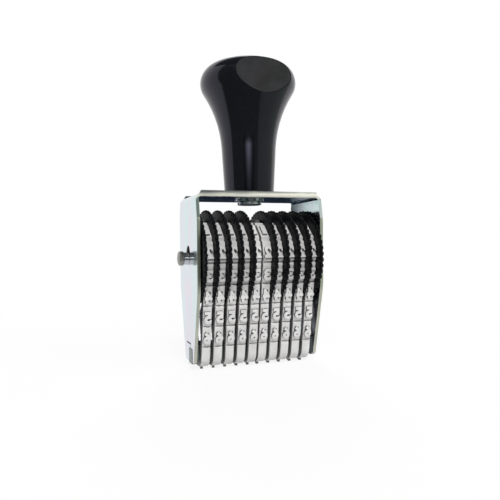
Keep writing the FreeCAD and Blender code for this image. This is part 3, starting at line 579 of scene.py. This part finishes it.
matt_black, tree, shader = new_material("matt_black_patch", Base_Color=colour("#262627"), Roughness=0.6,
                                        Specular_IOR_Level=0.1)
place = add_node(tree, "ShaderNodeTexCoord")
add_grain(tree, shader, place.outputs["Object"], scale=3000.0, detail=3.0, strength=0.5)
add_clouds(tree, shader, place.outputs["Object"], scale=260.0, detail=5.0,
           stops=[(0.35, colour("#242425")), (0.7, colour("#2E2E30"))])

# %% Dress the handle
dress(knob, gloss_black)
knob.data.materials.append(matt_black)
for face in knob.data.polygons:
    if is_spot(face.center, face, SPOT_RIM_DEPTH):
        face.material_index = 1
finish_piece(knob, "stamp_body", "handle", None)

# %% [markdown]
# The frame, the platen, the axle, the screw and its washer are pressed or turned metal whose CAD shape
# is right. What the solids lack is the soft edge that every real sheet and rod has, so each gets a
# copy whose loose triangles are joined, whose flat faces are made whole and whose sharp edges are
# bevelled by a few hundredths of a millimetre.

# %% Soft-edged copies of the metal parts
EDGE_LIMIT = math.radians(32)
FLAT_LIMIT = math.radians(0.5)


def soften(node, name, width, segments=2):
    """A copy of a CAD node, joined up and with a small bevel on its sharp edges."""
    piece = copy_piece(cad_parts[node], name)
    piece.parent = None
    for key in list(piece.keys()):
        del piece[key]
    pick(piece, "FACE", lambda middle, face: True)
    bpy.ops.mesh.remove_doubles(threshold=NEAR)
    bpy.ops.mesh.dissolve_limited(angle_limit=FLAT_LIMIT)
    bpy.ops.object.mode_set(mode="OBJECT")
    bevel = piece.modifiers.new("soft_edges", "BEVEL")
    bevel.width = width
    bevel.segments = segments
    bevel.limit_method = "ANGLE"
    bevel.angle_limit = EDGE_LIMIT
    bpy.ops.object.modifier_apply(modifier=bevel.name)
    print(name, "faces", len(piece.data.polygons))
    return piece


yoke = soften("frame", "yoke", 0.07 * MM)
platen = soften("platen", "platen_bar", 0.06 * MM)
rod = soften("axle", "axle_rod", 0.08 * MM)
screw = soften("handle_screw", "pan_head_screw", 0.08 * MM)
washer = soften("lock_washer", "toothed_washer", 0.05 * MM, 1)

# %% [markdown]
# Each band is an endless rubber belt with a row of blocks moulded on it, and a raised digit on most
# blocks, in mirror writing. It runs round the ten-sided drum of its thumbwheel at the top and round
# the platen bar at the bottom. Between those two it is straight, so only the blocks at the platen are
# bent. In the photograph the blocks stand a little back from where the one that prints would be in the
# middle of the platen. The easiest way to make a band is flat: a block and its digit are modelled as if
# lying on a table, with x across the band, y along it and z out of it, and each is then carried to its
# place on the loop.

# %% The path of a band
AXLE_LEVEL = (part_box("axle")[0].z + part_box("axle")[1].z) / 2
BELT = 0.7 * MM
BLOCK_RISE = 0.8 * MM
TYPE_RISE = 0.6 * MM
BLOCK_COUNT = 16
NOTCH = 0.4 * MM
BELT_LAG = 0.68 * MM
SWAY = 0.78 * MM
SWAY_SLOPE = 4
DRUM_REACH = 7.5 * MM
PLATEN_CORNER = 1.55 * MM
PLATEN_HALF_FLAT = 1.5 * MM
LOOP_SLACK = 1e-9
NEUTRAL = BELT / 2
FACE_HEIGHT = BELT + BLOCK_RISE
FLOOR_LEVEL = FACE_HEIGHT + TYPE_RISE

corner_level = FLOOR_LEVEL + PLATEN_CORNER
rise = AXLE_LEVEL - corner_level
reach = math.hypot(PLATEN_HALF_FLAT, rise)
lean = math.asin((DRUM_REACH - PLATEN_CORNER) / reach) - math.atan2(PLATEN_HALF_FLAT, rise)
straight = math.sqrt(reach ** 2 - (DRUM_REACH - PLATEN_CORNER) ** 2)
corner_run = (math.pi / 2 - lean) * (PLATEN_CORNER + NEUTRAL)
drum_run = (math.pi / 2 + lean) * (DRUM_REACH + NEUTRAL)
half_loop = PLATEN_HALF_FLAT + corner_run + straight + drum_run
PITCH = 2 * half_loop / BLOCK_COUNT
print("block pitch mm", round(PITCH / MM, 3))


def loop_place(length):
    """Point of the inner face and outward direction, as (y, z), a length from the print face forward."""
    if length < 0:
        point, outward = loop_place(-length)
        return Vector((-point.x, point.y)), Vector((-outward.x, outward.y))
    if length > half_loop + LOOP_SLACK:
        return loop_place(length - 2 * half_loop)
    if length <= PLATEN_HALF_FLAT:
        return Vector((-length, FLOOR_LEVEL)), Vector((0, -1))
    length -= PLATEN_HALF_FLAT
    bend = Vector((-PLATEN_HALF_FLAT, corner_level))
    if length <= corner_run:
        turn = length / (PLATEN_CORNER + NEUTRAL)
        outward = Vector((-math.sin(turn), -math.cos(turn)))
        return bend + outward * PLATEN_CORNER, outward
    length -= corner_run
    outward = Vector((-math.cos(lean), -math.sin(lean)))
    if length <= straight:
        return bend + outward * PLATEN_CORNER + Vector((-math.sin(lean), math.cos(lean))) * length, outward
    turn = (length - straight) / (DRUM_REACH + NEUTRAL) - lean
    outward = Vector((-math.cos(turn), math.sin(turn)))
    return Vector((0, AXLE_LEVEL)) + outward * DRUM_REACH, outward


# %% [markdown]
# A block away from the platen stays flat and meets the next one in a fold. The three at the platen
# follow the path point by point.

# %% Carry a flat block to its place
BENT_BLOCKS = (-1, 0, 1)
PARALLEL = 1e-6


def flat_place(block, along, height):
    """Where a point of a straight block comes to lie; the block is a flat piece that touches the path."""
    point, outward = loop_place(block * PITCH - BELT_LAG)
    run = Vector((outward.y, -outward.x))
    return point + run * along + outward * height


def fold_place(block, height):
    """Where the flats of a block and the next one meet at a height above the inner face."""
    first, outward = loop_place(block * PITCH - BELT_LAG)
    second, turned = loop_place((block + 1) * PITCH - BELT_LAG)
    run = Vector((outward.y, -outward.x))
    ahead = Vector((turned.y, -turned.x))
    first = first + outward * height
    second = second + turned * height
    across = run.x * ahead.y - run.y * ahead.x
    if abs(across) < PARALLEL:
        return (first + second) / 2
    gap = second - first
    return first + run * ((gap.x * ahead.y - gap.y * ahead.x) / across)


def seat(piece, block):
    """Carry a piece that was modelled flat to its block's place round the loop."""
    for point in piece.data.vertices:
        across, along, height = point.co
        at_fold = abs(abs(along) - PITCH / 2) < VERY_NEAR
        if block in BENT_BLOCKS or (at_fold and along > 0 and block + 1 in BENT_BLOCKS):
            inner, outward = loop_place(block * PITCH - BELT_LAG + along)
            place = inner + outward * height
        elif at_fold:
            place = fold_place(block if along > 0 else block - 1, height)
        else:
            place = flat_place(block, along, height)
        point.co = (across, place.x, place.y)


# %% [markdown]
# Rubber of this kind is a pale grey and slightly chalky. A fine grain and faint cloudiness keep it
# from looking like paint. The sides of the blocks, the inner face of the belt and the sides of the digits
# get a darker grey, which is painted shade, and a dark plate shows in the hollows of the digits as painted
# shade.

# %% Rubber
def make_rubber(name, pale, dark):
    """Chalky rubber with soft clouds between two greys."""
    material, tree, shader = new_material(name, Base_Color=pale, Roughness=0.62, Specular_IOR_Level=0.35)
    place = add_node(tree, "ShaderNodeTexCoord")
    add_clouds(tree, shader, place.outputs["Object"], scale=450.0, detail=4.0,
               stops=[(0.3, dark), (0.7, pale)])
    add_grain(tree, shader, place.outputs["Object"], scale=6000.0, detail=2.0, strength=0.35)
    return material


rubber = make_rubber("moulded_grey_rubber", colour("#D2D1D0"), colour("#C4C3C2"))
# A darker grey for the sides of the blocks and of the digits: painted shade.
side_shade_rubber = make_rubber("grey_rubber_painted_shade", colour("#858486"), colour("#757477"))
# The darkest grey, for a plate in the hollows of the digits: painted shade.
hollow_shade_rubber = make_rubber("grey_rubber_painted_hollow_shade", colour("#4C4B4E"), colour("#3C3B3E"))

# %% [markdown]
# A block starts as a box as long as its stretch of belt. Its top face is extruded to the height of the
# block and drawn in at both ends, which leaves a V notch between two blocks. The top edges get a
# small round, and cuts along its length let the blocks at the platen bend.

# %% One flat block
BAND_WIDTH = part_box("band_1")[1].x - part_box("band_1")[0].x
BLOCK_ROUND = 0.12 * MM
BLOCK_CUTS = 9


def make_block():
    """A block with its stretch of belt, lying flat about x = y = 0."""
    deselect()
    bpy.ops.mesh.primitive_cube_add(size=1, location=(0, 0, BELT / 2))
    block = bpy.context.object
    block.name = "block"
    block.scale = (BAND_WIDTH, PITCH, BELT)
    bpy.ops.object.transform_apply()
    pick(block, "FACE", lambda middle, face: face.normal.z > ALONG)
    bpy.ops.mesh.extrude_region_move(TRANSFORM_OT_translate={"value": (0, 0, BLOCK_RISE)})
    bpy.ops.transform.resize(value=(1, (PITCH - NOTCH) / PITCH, 1), center_override=(0, 0, FACE_HEIGHT))
    close(block)
    pick(block, "EDGE", lambda middle, edge: middle.z > FACE_HEIGHT - NEAR)
    bpy.ops.mesh.bevel(offset=BLOCK_ROUND, segments=2)
    close(block)
    pick(block, "FACE", lambda middle, face: abs(face.normal.y) > SQUARE_TO and middle.z < BELT)
    bpy.ops.mesh.delete(type="FACE")
    bpy.ops.object.mode_set(mode="OBJECT")

    def lengthwise(middle, edge):
        """Whether an edge runs along the band from end to end."""
        ends = [block.data.vertices[index].co for index in edge.vertices]
        return abs(ends[0].y - ends[1].y) > PITCH / 2

    pick(block, "EDGE", lengthwise)
    bpy.ops.mesh.subdivide(number_cuts=BLOCK_CUTS)
    bpy.ops.object.mode_set(mode="OBJECT")
    dress(block, rubber)
    # The sides of the block and the inner face of the belt take the darker grey, a painted shade.
    block.data.materials.append(side_shade_rubber)
    for face in block.data.polygons:
        face.material_index = int(abs(face.normal.x) > ALONG or face.normal.z < -ALONG)
    print("block faces", len(block.data.polygons))
    return block


# %% [markdown]
# The digits are bold, with square ends and a flat face in one plane, because that is what prints. Text
# gives their outline: it is thickened, extruded and given a narrow round along its edge, turned into
# a mesh and brought to the size of the type. Printing type is mirror writing, so x is turned round.

# %% One flat digit
TYPE_HEIGHT = 3.15 * MM
TYPE_WIDTH = 1.9 * MM
TYPE_DROP = 0.17 * MM
MARKS = {0: "/", 2: "6", 3: "5", 4: "4", 5: "3", 6: "2", 7: "1", 8: "0", 13: "9", 14: "8", 15: "7"}
NARROW_MARKS = {"1": 0.62, "/": 0.8}
TYPE_SINK = 0.08 * MM
SHADE_PLATE_MARGIN = 0.7 * MM
SHADE_PLATE_DEPTH = 0.03 * MM
TYPE_ROUND = 0.05 * MM
TYPE_WEIGHT_SHARE = 0.05
SIDE_FACING = 0.5


def make_shade_plate(width, drop):
    """A thin plate under a digit, which shows only in its hollows and darkens them as painted shade."""
    deselect()
    bpy.ops.mesh.primitive_cube_add(size=1, location=(0, -drop, FACE_HEIGHT))
    shade_plate = bpy.context.object
    shade_plate.scale = (width - SHADE_PLATE_MARGIN, TYPE_HEIGHT - SHADE_PLATE_MARGIN, SHADE_PLATE_DEPTH)
    bpy.ops.object.transform_apply()
    return shade_plate


def make_mark(mark):
    """A raised mark, lying flat over the middle of its block."""
    deselect()
    bpy.ops.object.text_add()
    piece = bpy.context.object
    text = piece.data
    text.body = mark
    text.resolution_u = 5
    text.offset = TYPE_WEIGHT_SHARE
    text.extrude = ((TYPE_RISE + TYPE_SINK) / 2 - TYPE_ROUND) / TYPE_HEIGHT
    text.bevel_depth = TYPE_ROUND / TYPE_HEIGHT
    text.bevel_resolution = 1
    bpy.ops.object.convert(target="MESH")
    piece = bpy.context.object
    piece.name = "mark"
    low = [min(point.co[axis] for point in piece.data.vertices) for axis in range(3)]
    high = [max(point.co[axis] for point in piece.data.vertices) for axis in range(3)]
    width = TYPE_WIDTH * NARROW_MARKS.get(mark, 1)
    across = -width / (high[0] - low[0])
    along = TYPE_HEIGHT / (high[1] - low[1])
    foot = Vector(((low[0] + high[0]) / 2, (low[1] + high[1]) / 2, low[2]))
    drop = -BELT_LAG if mark == MARKS[0] else TYPE_DROP
    fit = (Matrix.Translation((0, -drop, FACE_HEIGHT - TYPE_SINK))
           @ Matrix.Diagonal((across, along, TYPE_HEIGHT, 1)) @ Matrix.Translation(-foot))
    piece.data.transform(fit)
    merge_points(piece, VERY_NEAR)
    shade_plate = make_shade_plate(width, drop)
    # The plate under the digit is dressed in the darkest grey, a painted shade in its hollows.
    dress(shade_plate, hollow_shade_rubber)
    dress(piece, rubber)
    # The sides of the digit take the darker grey, a painted shade.
    piece.data.materials.append(side_shade_rubber)
    for face in piece.data.polygons:
        face.material_index = int(abs(face.normal.z) < SIDE_FACING)
    return join_pieces([piece, shade_plate])


# %% [markdown]
# Sixteen blocks close the loop, and eleven of them carry a mark. The rear side of a band hangs slack
# and sways a little to the left between the platen and the wheel. That is a guess, made because no
# light shows between the bands in the photograph.

# %% Put a band together
def slack_sway(depth, level):
    """How far the slack rear side of a band hangs off to the left, between the platen and the wheel."""
    low = corner_level
    high = AXLE_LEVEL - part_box("thumbwheel_1")[1].z + AXLE_LEVEL
    share = (level - low) / (high - low)
    if depth < 0 or not 0 < share < 1:
        return 0
    swing = min(1, SWAY_SLOPE * share, SWAY_SLOPE * (1 - share))
    return SWAY * swing * swing * (3 - 2 * swing)


def make_band():
    """One band at x = 0: sixteen blocks and their digits, each carried to its place, then joined."""
    block = make_block()
    pieces = []
    for number in range(BLOCK_COUNT):
        wrapped = number if number <= BLOCK_COUNT / 2 else number - BLOCK_COUNT
        part = copy_piece(block, f"block_{number}")
        seat(part, wrapped)
        pieces.append(part)
        if number in MARKS:
            mark = make_mark(MARKS[number])
            seat(mark, wrapped)
            pieces.append(mark)
    bpy.data.objects.remove(block)
    band = join_pieces(pieces)
    merge_points(band, 2 * NEAR)
    for point in band.data.vertices:
        point.co.x -= slack_sway(point.co.y, point.co.z)
    return band


master_band = make_band()
print("band faces", len(master_band.data.polygons))

# %% The ten bands
for unit in UNITS:
    low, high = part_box(f"band_{unit}")
    band = copy_piece(master_band, f"number_band_{unit}")
    band.data.transform(Matrix.Translation(((low.x + high.x) / 2, 0, 0)))
    finish_piece(band, "stamp_body", f"band_{unit}", None, math.radians(40))
bpy.data.objects.remove(master_band)

# %% [markdown]
# A thumbwheel is a serrated disc moulded in one piece with the drum that drives its band. Its 48 teeth
# are rounded like beads. The disc is turned from rings, and then every sixth point of the rim is drawn
# in to make the valleys, with the points beside it a little less, which rounds each tooth. Ten short
# scores run outward on each side of the disc.

# %% One thumbwheel
WHEEL_RADIUS = (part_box("thumbwheel_1")[1].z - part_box("thumbwheel_1")[0].z) / 2
WHEEL_TEETH = 48
POINTS_PER_TOOTH = 6
TOOTH_SHARES = {0: 0.944, 1: 0.974, 5: 0.974, 2: 0.995, 4: 0.995}
RIM_ROUND = 0.22 * MM
RIM_CORNER_SHARE = 0.3
DRUM_LENGTH = 2.2 * MM
DISC_THICKNESS = 0.79 * MM
BORE_RADIUS = 1.65 * MM
DRUM_RADIUS = 7.3 * MM
DRUM_FLATS = 10
DRUM_SINK = 0.05 * MM
SCORE_INNER = 7.9 * MM
SCORE_OUTER = 11.0 * MM
SCORE_DEPTH = 0.1 * MM


def make_wheel():
    """A thumbwheel about z: its drum from minus to plus half its length, the disc above it."""
    inner = DRUM_LENGTH / 2
    outer = inner + DISC_THICKNESS
    edge = WHEEL_RADIUS - RIM_ROUND
    corner = RIM_ROUND * RIM_CORNER_SHARE
    rings = [(BORE_RADIUS, outer), (BORE_RADIUS, inner), (SCORE_INNER, inner), (SCORE_OUTER, inner),
             (edge, inner), (WHEEL_RADIUS - corner, inner + corner),
             (WHEEL_RADIUS, inner + RIM_ROUND), (WHEEL_RADIUS, outer - RIM_ROUND),
             (WHEEL_RADIUS - corner, outer - corner), (edge, outer),
             (SCORE_OUTER, outer), (SCORE_INNER, outer), (BORE_RADIUS, outer)]
    disc = lathe("disc", rings, WHEEL_TEETH * POINTS_PER_TOOTH)
    join_ends(disc)
    for step, share in TOOTH_SHARES.items():
        def on_step(middle, point, step=step):
            """Whether a point of the rim is this many steps past the middle of a valley."""
            if middle.xy.length < edge - NEAR:
                return False
            turn = math.atan2(middle.y, middle.x) / (2 * math.pi) * WHEEL_TEETH * POINTS_PER_TOOTH
            return round(turn) % POINTS_PER_TOOTH == step
        pick(disc, "VERT", on_step)
        bpy.ops.transform.resize(value=(share, share, 1), center_override=(0, 0, 0))
        bpy.ops.object.mode_set(mode="OBJECT")

    def in_score(middle, face):
        """Whether a face of the disc's sides lies in one of the ten scores."""
        if abs(face.normal.z) < ALONG or not SCORE_INNER < middle.xy.length < SCORE_OUTER:
            return False
        turn = math.degrees(math.atan2(middle.y, middle.x)) % (360 / DRUM_FLATS)
        return turn < 360 / (WHEEL_TEETH * POINTS_PER_TOOTH)
    for side in (1, -1):
        pick(disc, "FACE", lambda middle, face: in_score(middle, face) and face.normal.z * side > 0)
        bpy.ops.mesh.extrude_region_move(TRANSFORM_OT_translate={"value": (0, 0, -SCORE_DEPTH * side)})
        bpy.ops.object.mode_set(mode="OBJECT")
    bore = BORE_RADIUS + DRUM_SINK
    top = inner + DRUM_SINK
    rings = [(bore, top), (bore, -inner), (DRUM_RADIUS, -inner), (DRUM_RADIUS, top), (bore, top)]
    drum = lathe("drum", rings, DRUM_FLATS)
    join_ends(drum)
    return lay_along_x(join_pieces([disc, drum]))


master_wheel = make_wheel()
print("thumbwheel faces", len(master_wheel.data.polygons))

# %% [markdown]
# The wheels are moulded in a black that is satin rather than glossy, a little uneven in its shade and
# with a fine grain.

# %% Wheel plastic
satin_black, tree, shader = new_material("satin_black_moulding", Base_Color=colour("#0C0D10"), Roughness=0.46,
                                         Specular_IOR_Level=0.12)
place = add_node(tree, "ShaderNodeTexCoord")
add_clouds(tree, shader, place.outputs["Object"], scale=500.0, detail=4.0,
           stops=[(0.3, colour("#090A0D")), (0.75, colour("#131418"))])
add_grain(tree, shader, place.outputs["Object"], scale=3500.0, detail=2.0, strength=0.3)

# %% The ten thumbwheels
for unit in UNITS:
    low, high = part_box(f"band_{unit}")
    wheel = copy_piece(master_wheel, f"serrated_wheel_{unit}")
    turn = Matrix.Rotation(math.pi, 4, "Z") if unit <= len(UNITS) / 2 else Matrix.Identity(4)
    wheel.data.transform(Matrix.Translation(((low.x + high.x) / 2, 0, AXLE_LEVEL)) @ turn)
    finish_piece(wheel, f"wheel_{unit}", f"thumbwheel_{unit}", satin_black)
bpy.data.objects.remove(master_wheel)

# %% [markdown]
# The frame is bright zinc plate with a clear blue passivate. That film is thinner than a wavelength
# of light, so it shows faint pink, cyan and green where its thickness changes, in soft streaks that
# run down the sheet. The rolling lines of the sheet make a very fine grain the same way.

# %% Zinc plate
zinc, tree, shader = new_material("blue_passivated_zinc", Base_Color=colour("#D3D9E2"), Metallic=1.0,
                                  Roughness=0.24)
place = add_node(tree, "ShaderNodeTexCoord")
stretch = add_node(tree, "ShaderNodeMapping", Vector=place.outputs["Object"], Scale=(1.0, 1.0, 0.25))
film = add_node(tree, "ShaderNodeTexNoise", Vector=stretch.outputs["Vector"], Scale=150.0, Detail=3.0,
                Distortion=0.4)
tint = ramp(tree, film.outputs["Fac"],
            [(0.28, colour("#C6DEDA")), (0.42, colour("#CCDDE0")), (0.52, colour("#D0DCE2")),
             (0.60, colour("#DED2E0")), (0.68, colour("#CCDCE2"))])
tree.links.new(tint, shader.inputs["Base Color"])
lines = add_node(tree, "ShaderNodeMapping", Vector=place.outputs["Object"], Scale=(1.0, 1.0, 0.03))
add_grain(tree, shader, lines.outputs["Vector"], scale=5000.0, detail=2.0, strength=0.08)
dull = add_node(tree, "ShaderNodeMapRange", Value=film.outputs["Fac"], To_Min=0.12, To_Max=0.24)
tree.links.new(dull.outputs["Result"], shader.inputs["Roughness"])

# %% [markdown]
# The sheet was plated before it was cut, so its cut edges are bare. They are duller, with a warm and
# slightly green tone, and show fine lines across the sheet from the shears.

# %% Cut edges of the sheet
SHEET = 1.0 * MM
cut_edge, tree, shader = new_material("bare_cut_edge", Base_Color=colour("#B9B8A6"), Metallic=1.0,
                                      Roughness=0.42)
place = add_node(tree, "ShaderNodeTexCoord")
lines = add_node(tree, "ShaderNodeMapping", Vector=place.outputs["Object"], Scale=(0.1, 1.0, 1.0))
add_grain(tree, shader, lines.outputs["Vector"], scale=2500.0, detail=3.0, strength=0.3, depth=0.00005)
add_clouds(tree, shader, place.outputs["Object"], scale=200.0, detail=3.0,
           stops=[(0.3, colour("#A9AFA4")), (0.7, colour("#C6C6B8"))])

# %% [markdown]
# The lip along the roof was turned up in a press and has a finish of its own, a pale satin that is half
# metal. It is darker along its top, more of it on the left, and that darker shade is a painted reflection.

# %% The lip, with a painted reflection
frame_low, frame_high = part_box("frame")
plate_inside = frame_high.x - SHEET
roof_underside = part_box("handle")[0].z - SHEET
lip_painted_reflection, tree, shader = new_material("satin_zinc_painted_reflection", Base_Color=colour("#DCDBD0"), Metallic=0.4,
                                        Roughness=0.38)
place = add_node(tree, "ShaderNodeTexCoord")
split = add_node(tree, "ShaderNodeSeparateXYZ", Vector=place.outputs["Object"])
up = add_node(tree, "ShaderNodeMapRange", Value=split.outputs["Z"], From_Min=roof_underside,
              From_Max=frame_high.z)
across = add_node(tree, "ShaderNodeMapRange", Value=split.outputs["X"], From_Min=frame_low.x,
                  From_Max=frame_high.x, To_Min=0.2, To_Max=-0.3)
patches = add_node(tree, "ShaderNodeTexNoise", Vector=place.outputs["Object"], Scale=250.0, Detail=3.0)
uneven = add_node(tree, "ShaderNodeMapRange", Value=patches.outputs["Fac"], To_Min=-0.2, To_Max=0.2)
# Darker towards the top and towards the left: a painted reflection.
reflection_slope = add_node(tree, "ShaderNodeMath", _0=up.outputs["Result"], _1=across.outputs["Result"])
mottled = add_node(tree, "ShaderNodeMath", _0=reflection_slope.outputs[0], _1=uneven.outputs["Result"])
shade = ramp(tree, mottled.outputs[0],
             [(0.45, colour("#E6E4DA")), (0.7, colour("#A9ABA4")), (0.95, colour("#5A5D5F"))])
tree.links.new(shade, shader.inputs["Base Color"])

# %% [markdown]
# The cut edges of the two plates are their faces below the bend that don't look to the side. The lip is
# what stands above the underside of the roof and looks to the front or the rear.

# %% Dress the frame
PLATE_MARGIN = 0.01 * MM
EDGE_FACING = 0.3
LIP_FACING = 0.4
finish_piece(yoke, "stamp_body", "frame", zinc)
yoke.data.materials.append(cut_edge)
# The lip's finish carries a painted reflection.
yoke.data.materials.append(lip_painted_reflection)
for face in yoke.data.polygons:
    in_plate = abs(face.center.x) > plate_inside - PLATE_MARGIN and face.center.z < roof_underside - SHEET
    if in_plate and abs(face.normal.x) < EDGE_FACING:
        face.material_index = 1
    elif face.center.z > roof_underside and abs(face.normal.y) > LIP_FACING:
        face.material_index = 2

# %% [markdown]
# The axle is drawn bright steel, which has lines along its length and a sharp highlight. The platen
# and the screw are plated steel that has lost its first shine, and the caps are dull.

# %% Steels
def make_steel(name, pale, dark, roughness, scale, stretch_scale):
    """A metal with soft patches between two greys and a fine grain drawn out along one direction."""
    material, tree, shader = new_material(name, Base_Color=pale, Metallic=1.0, Roughness=roughness)
    place = add_node(tree, "ShaderNodeTexCoord")
    add_clouds(tree, shader, place.outputs["Object"], scale, detail=4.0, stops=[(0.3, dark), (0.7, pale)])
    drawn = add_node(tree, "ShaderNodeMapping", Vector=place.outputs["Object"], Scale=stretch_scale)
    add_grain(tree, shader, drawn.outputs["Vector"], scale=5000.0, detail=2.0, strength=0.1)
    return material


drawn_steel = make_steel("drawn_bright_steel", colour("#D2D3D6"), colour("#BFC1C5"), 0.16, 300.0,
                         (0.03, 1.0, 1.0))
platen_steel = make_steel("plated_steel_bar", colour("#7E8984"), colour("#6B7671"), 0.34, 300.0,
                          (0.05, 1.0, 1.0))
screw_steel = make_steel("zinc_plated_screw_steel", colour("#B4B8BE"), colour("#9DA1A8"), 0.28, 600.0,
                         (1.0, 1.0, 1.0))
cap_steel = make_steel("dull_cap_steel", colour("#A8A7A3"), colour("#8F8E8A"), 0.45, 500.0, (1.0, 1.0, 1.0))
brass = make_steel("turned_brass", colour("#B9964A"), colour("#A5823A"), 0.3, 500.0, (1.0, 1.0, 0.05))
finish_piece(rod, "stamp_body", "axle", drawn_steel)
finish_piece(platen, "stamp_body", "platen", platen_steel)
finish_piece(screw, "stamp_body", "handle_screw", screw_steel)
finish_piece(washer, "stamp_body", "lock_washer", screw_steel)
dress(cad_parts["handle_insert"], brass)

# %% [markdown]
# The two caps are small pressed cups, pushed on the turned-down ends of the axle. Each is a turned
# form with a domed end and a rolled edge.

# %% Axle caps
CAP_RADIUS = 1.8 * MM
CAP_ROUND = 0.3 * MM
CAP_DOME = 0.35 * MM
SPIGOT_RADIUS = 1.0 * MM
SPIGOT_LENGTH = 1.0 * MM
CAP_DOME_PLACES = ((0.8, 0.45), (0.5, 0.82), (0.22, 0.97), (0.06, 1.0))
CAP_SEGMENTS = 64


def make_cap():
    """A cap about z, its open side at z = 0."""
    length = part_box("axle_cap_left")[1].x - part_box("axle_cap_left")[0].x
    side = length - CAP_DOME
    rings = [(SPIGOT_RADIUS, SPIGOT_LENGTH), (SPIGOT_RADIUS, 0), (CAP_RADIUS - CAP_ROUND / 2, 0),
             (CAP_RADIUS, CAP_ROUND / 2), (CAP_RADIUS, side - CAP_ROUND / 2),
             (CAP_RADIUS - CAP_ROUND / 3, side)]
    rings += [(CAP_RADIUS * across, side + CAP_DOME * up) for across, up in CAP_DOME_PLACES]
    return lay_along_x(lathe("cap", rings, CAP_SEGMENTS))


for side, node in ((-1, "axle_cap_left"), (1, "axle_cap_right")):
    low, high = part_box(node)
    cap = make_cap()
    cap.name = node + "_cup"
    turn = Matrix.Rotation(math.pi, 4, "Z") if side < 0 else Matrix.Identity(4)
    start = high.x if side < 0 else low.x
    cap.data.transform(Matrix.Translation((start, 0, AXLE_LEVEL)) @ turn)
    finish_piece(cap, "stamp_body", node, cap_steel)

# %% Finish
bpy.context.scene.view_settings.view_transform = "Standard"
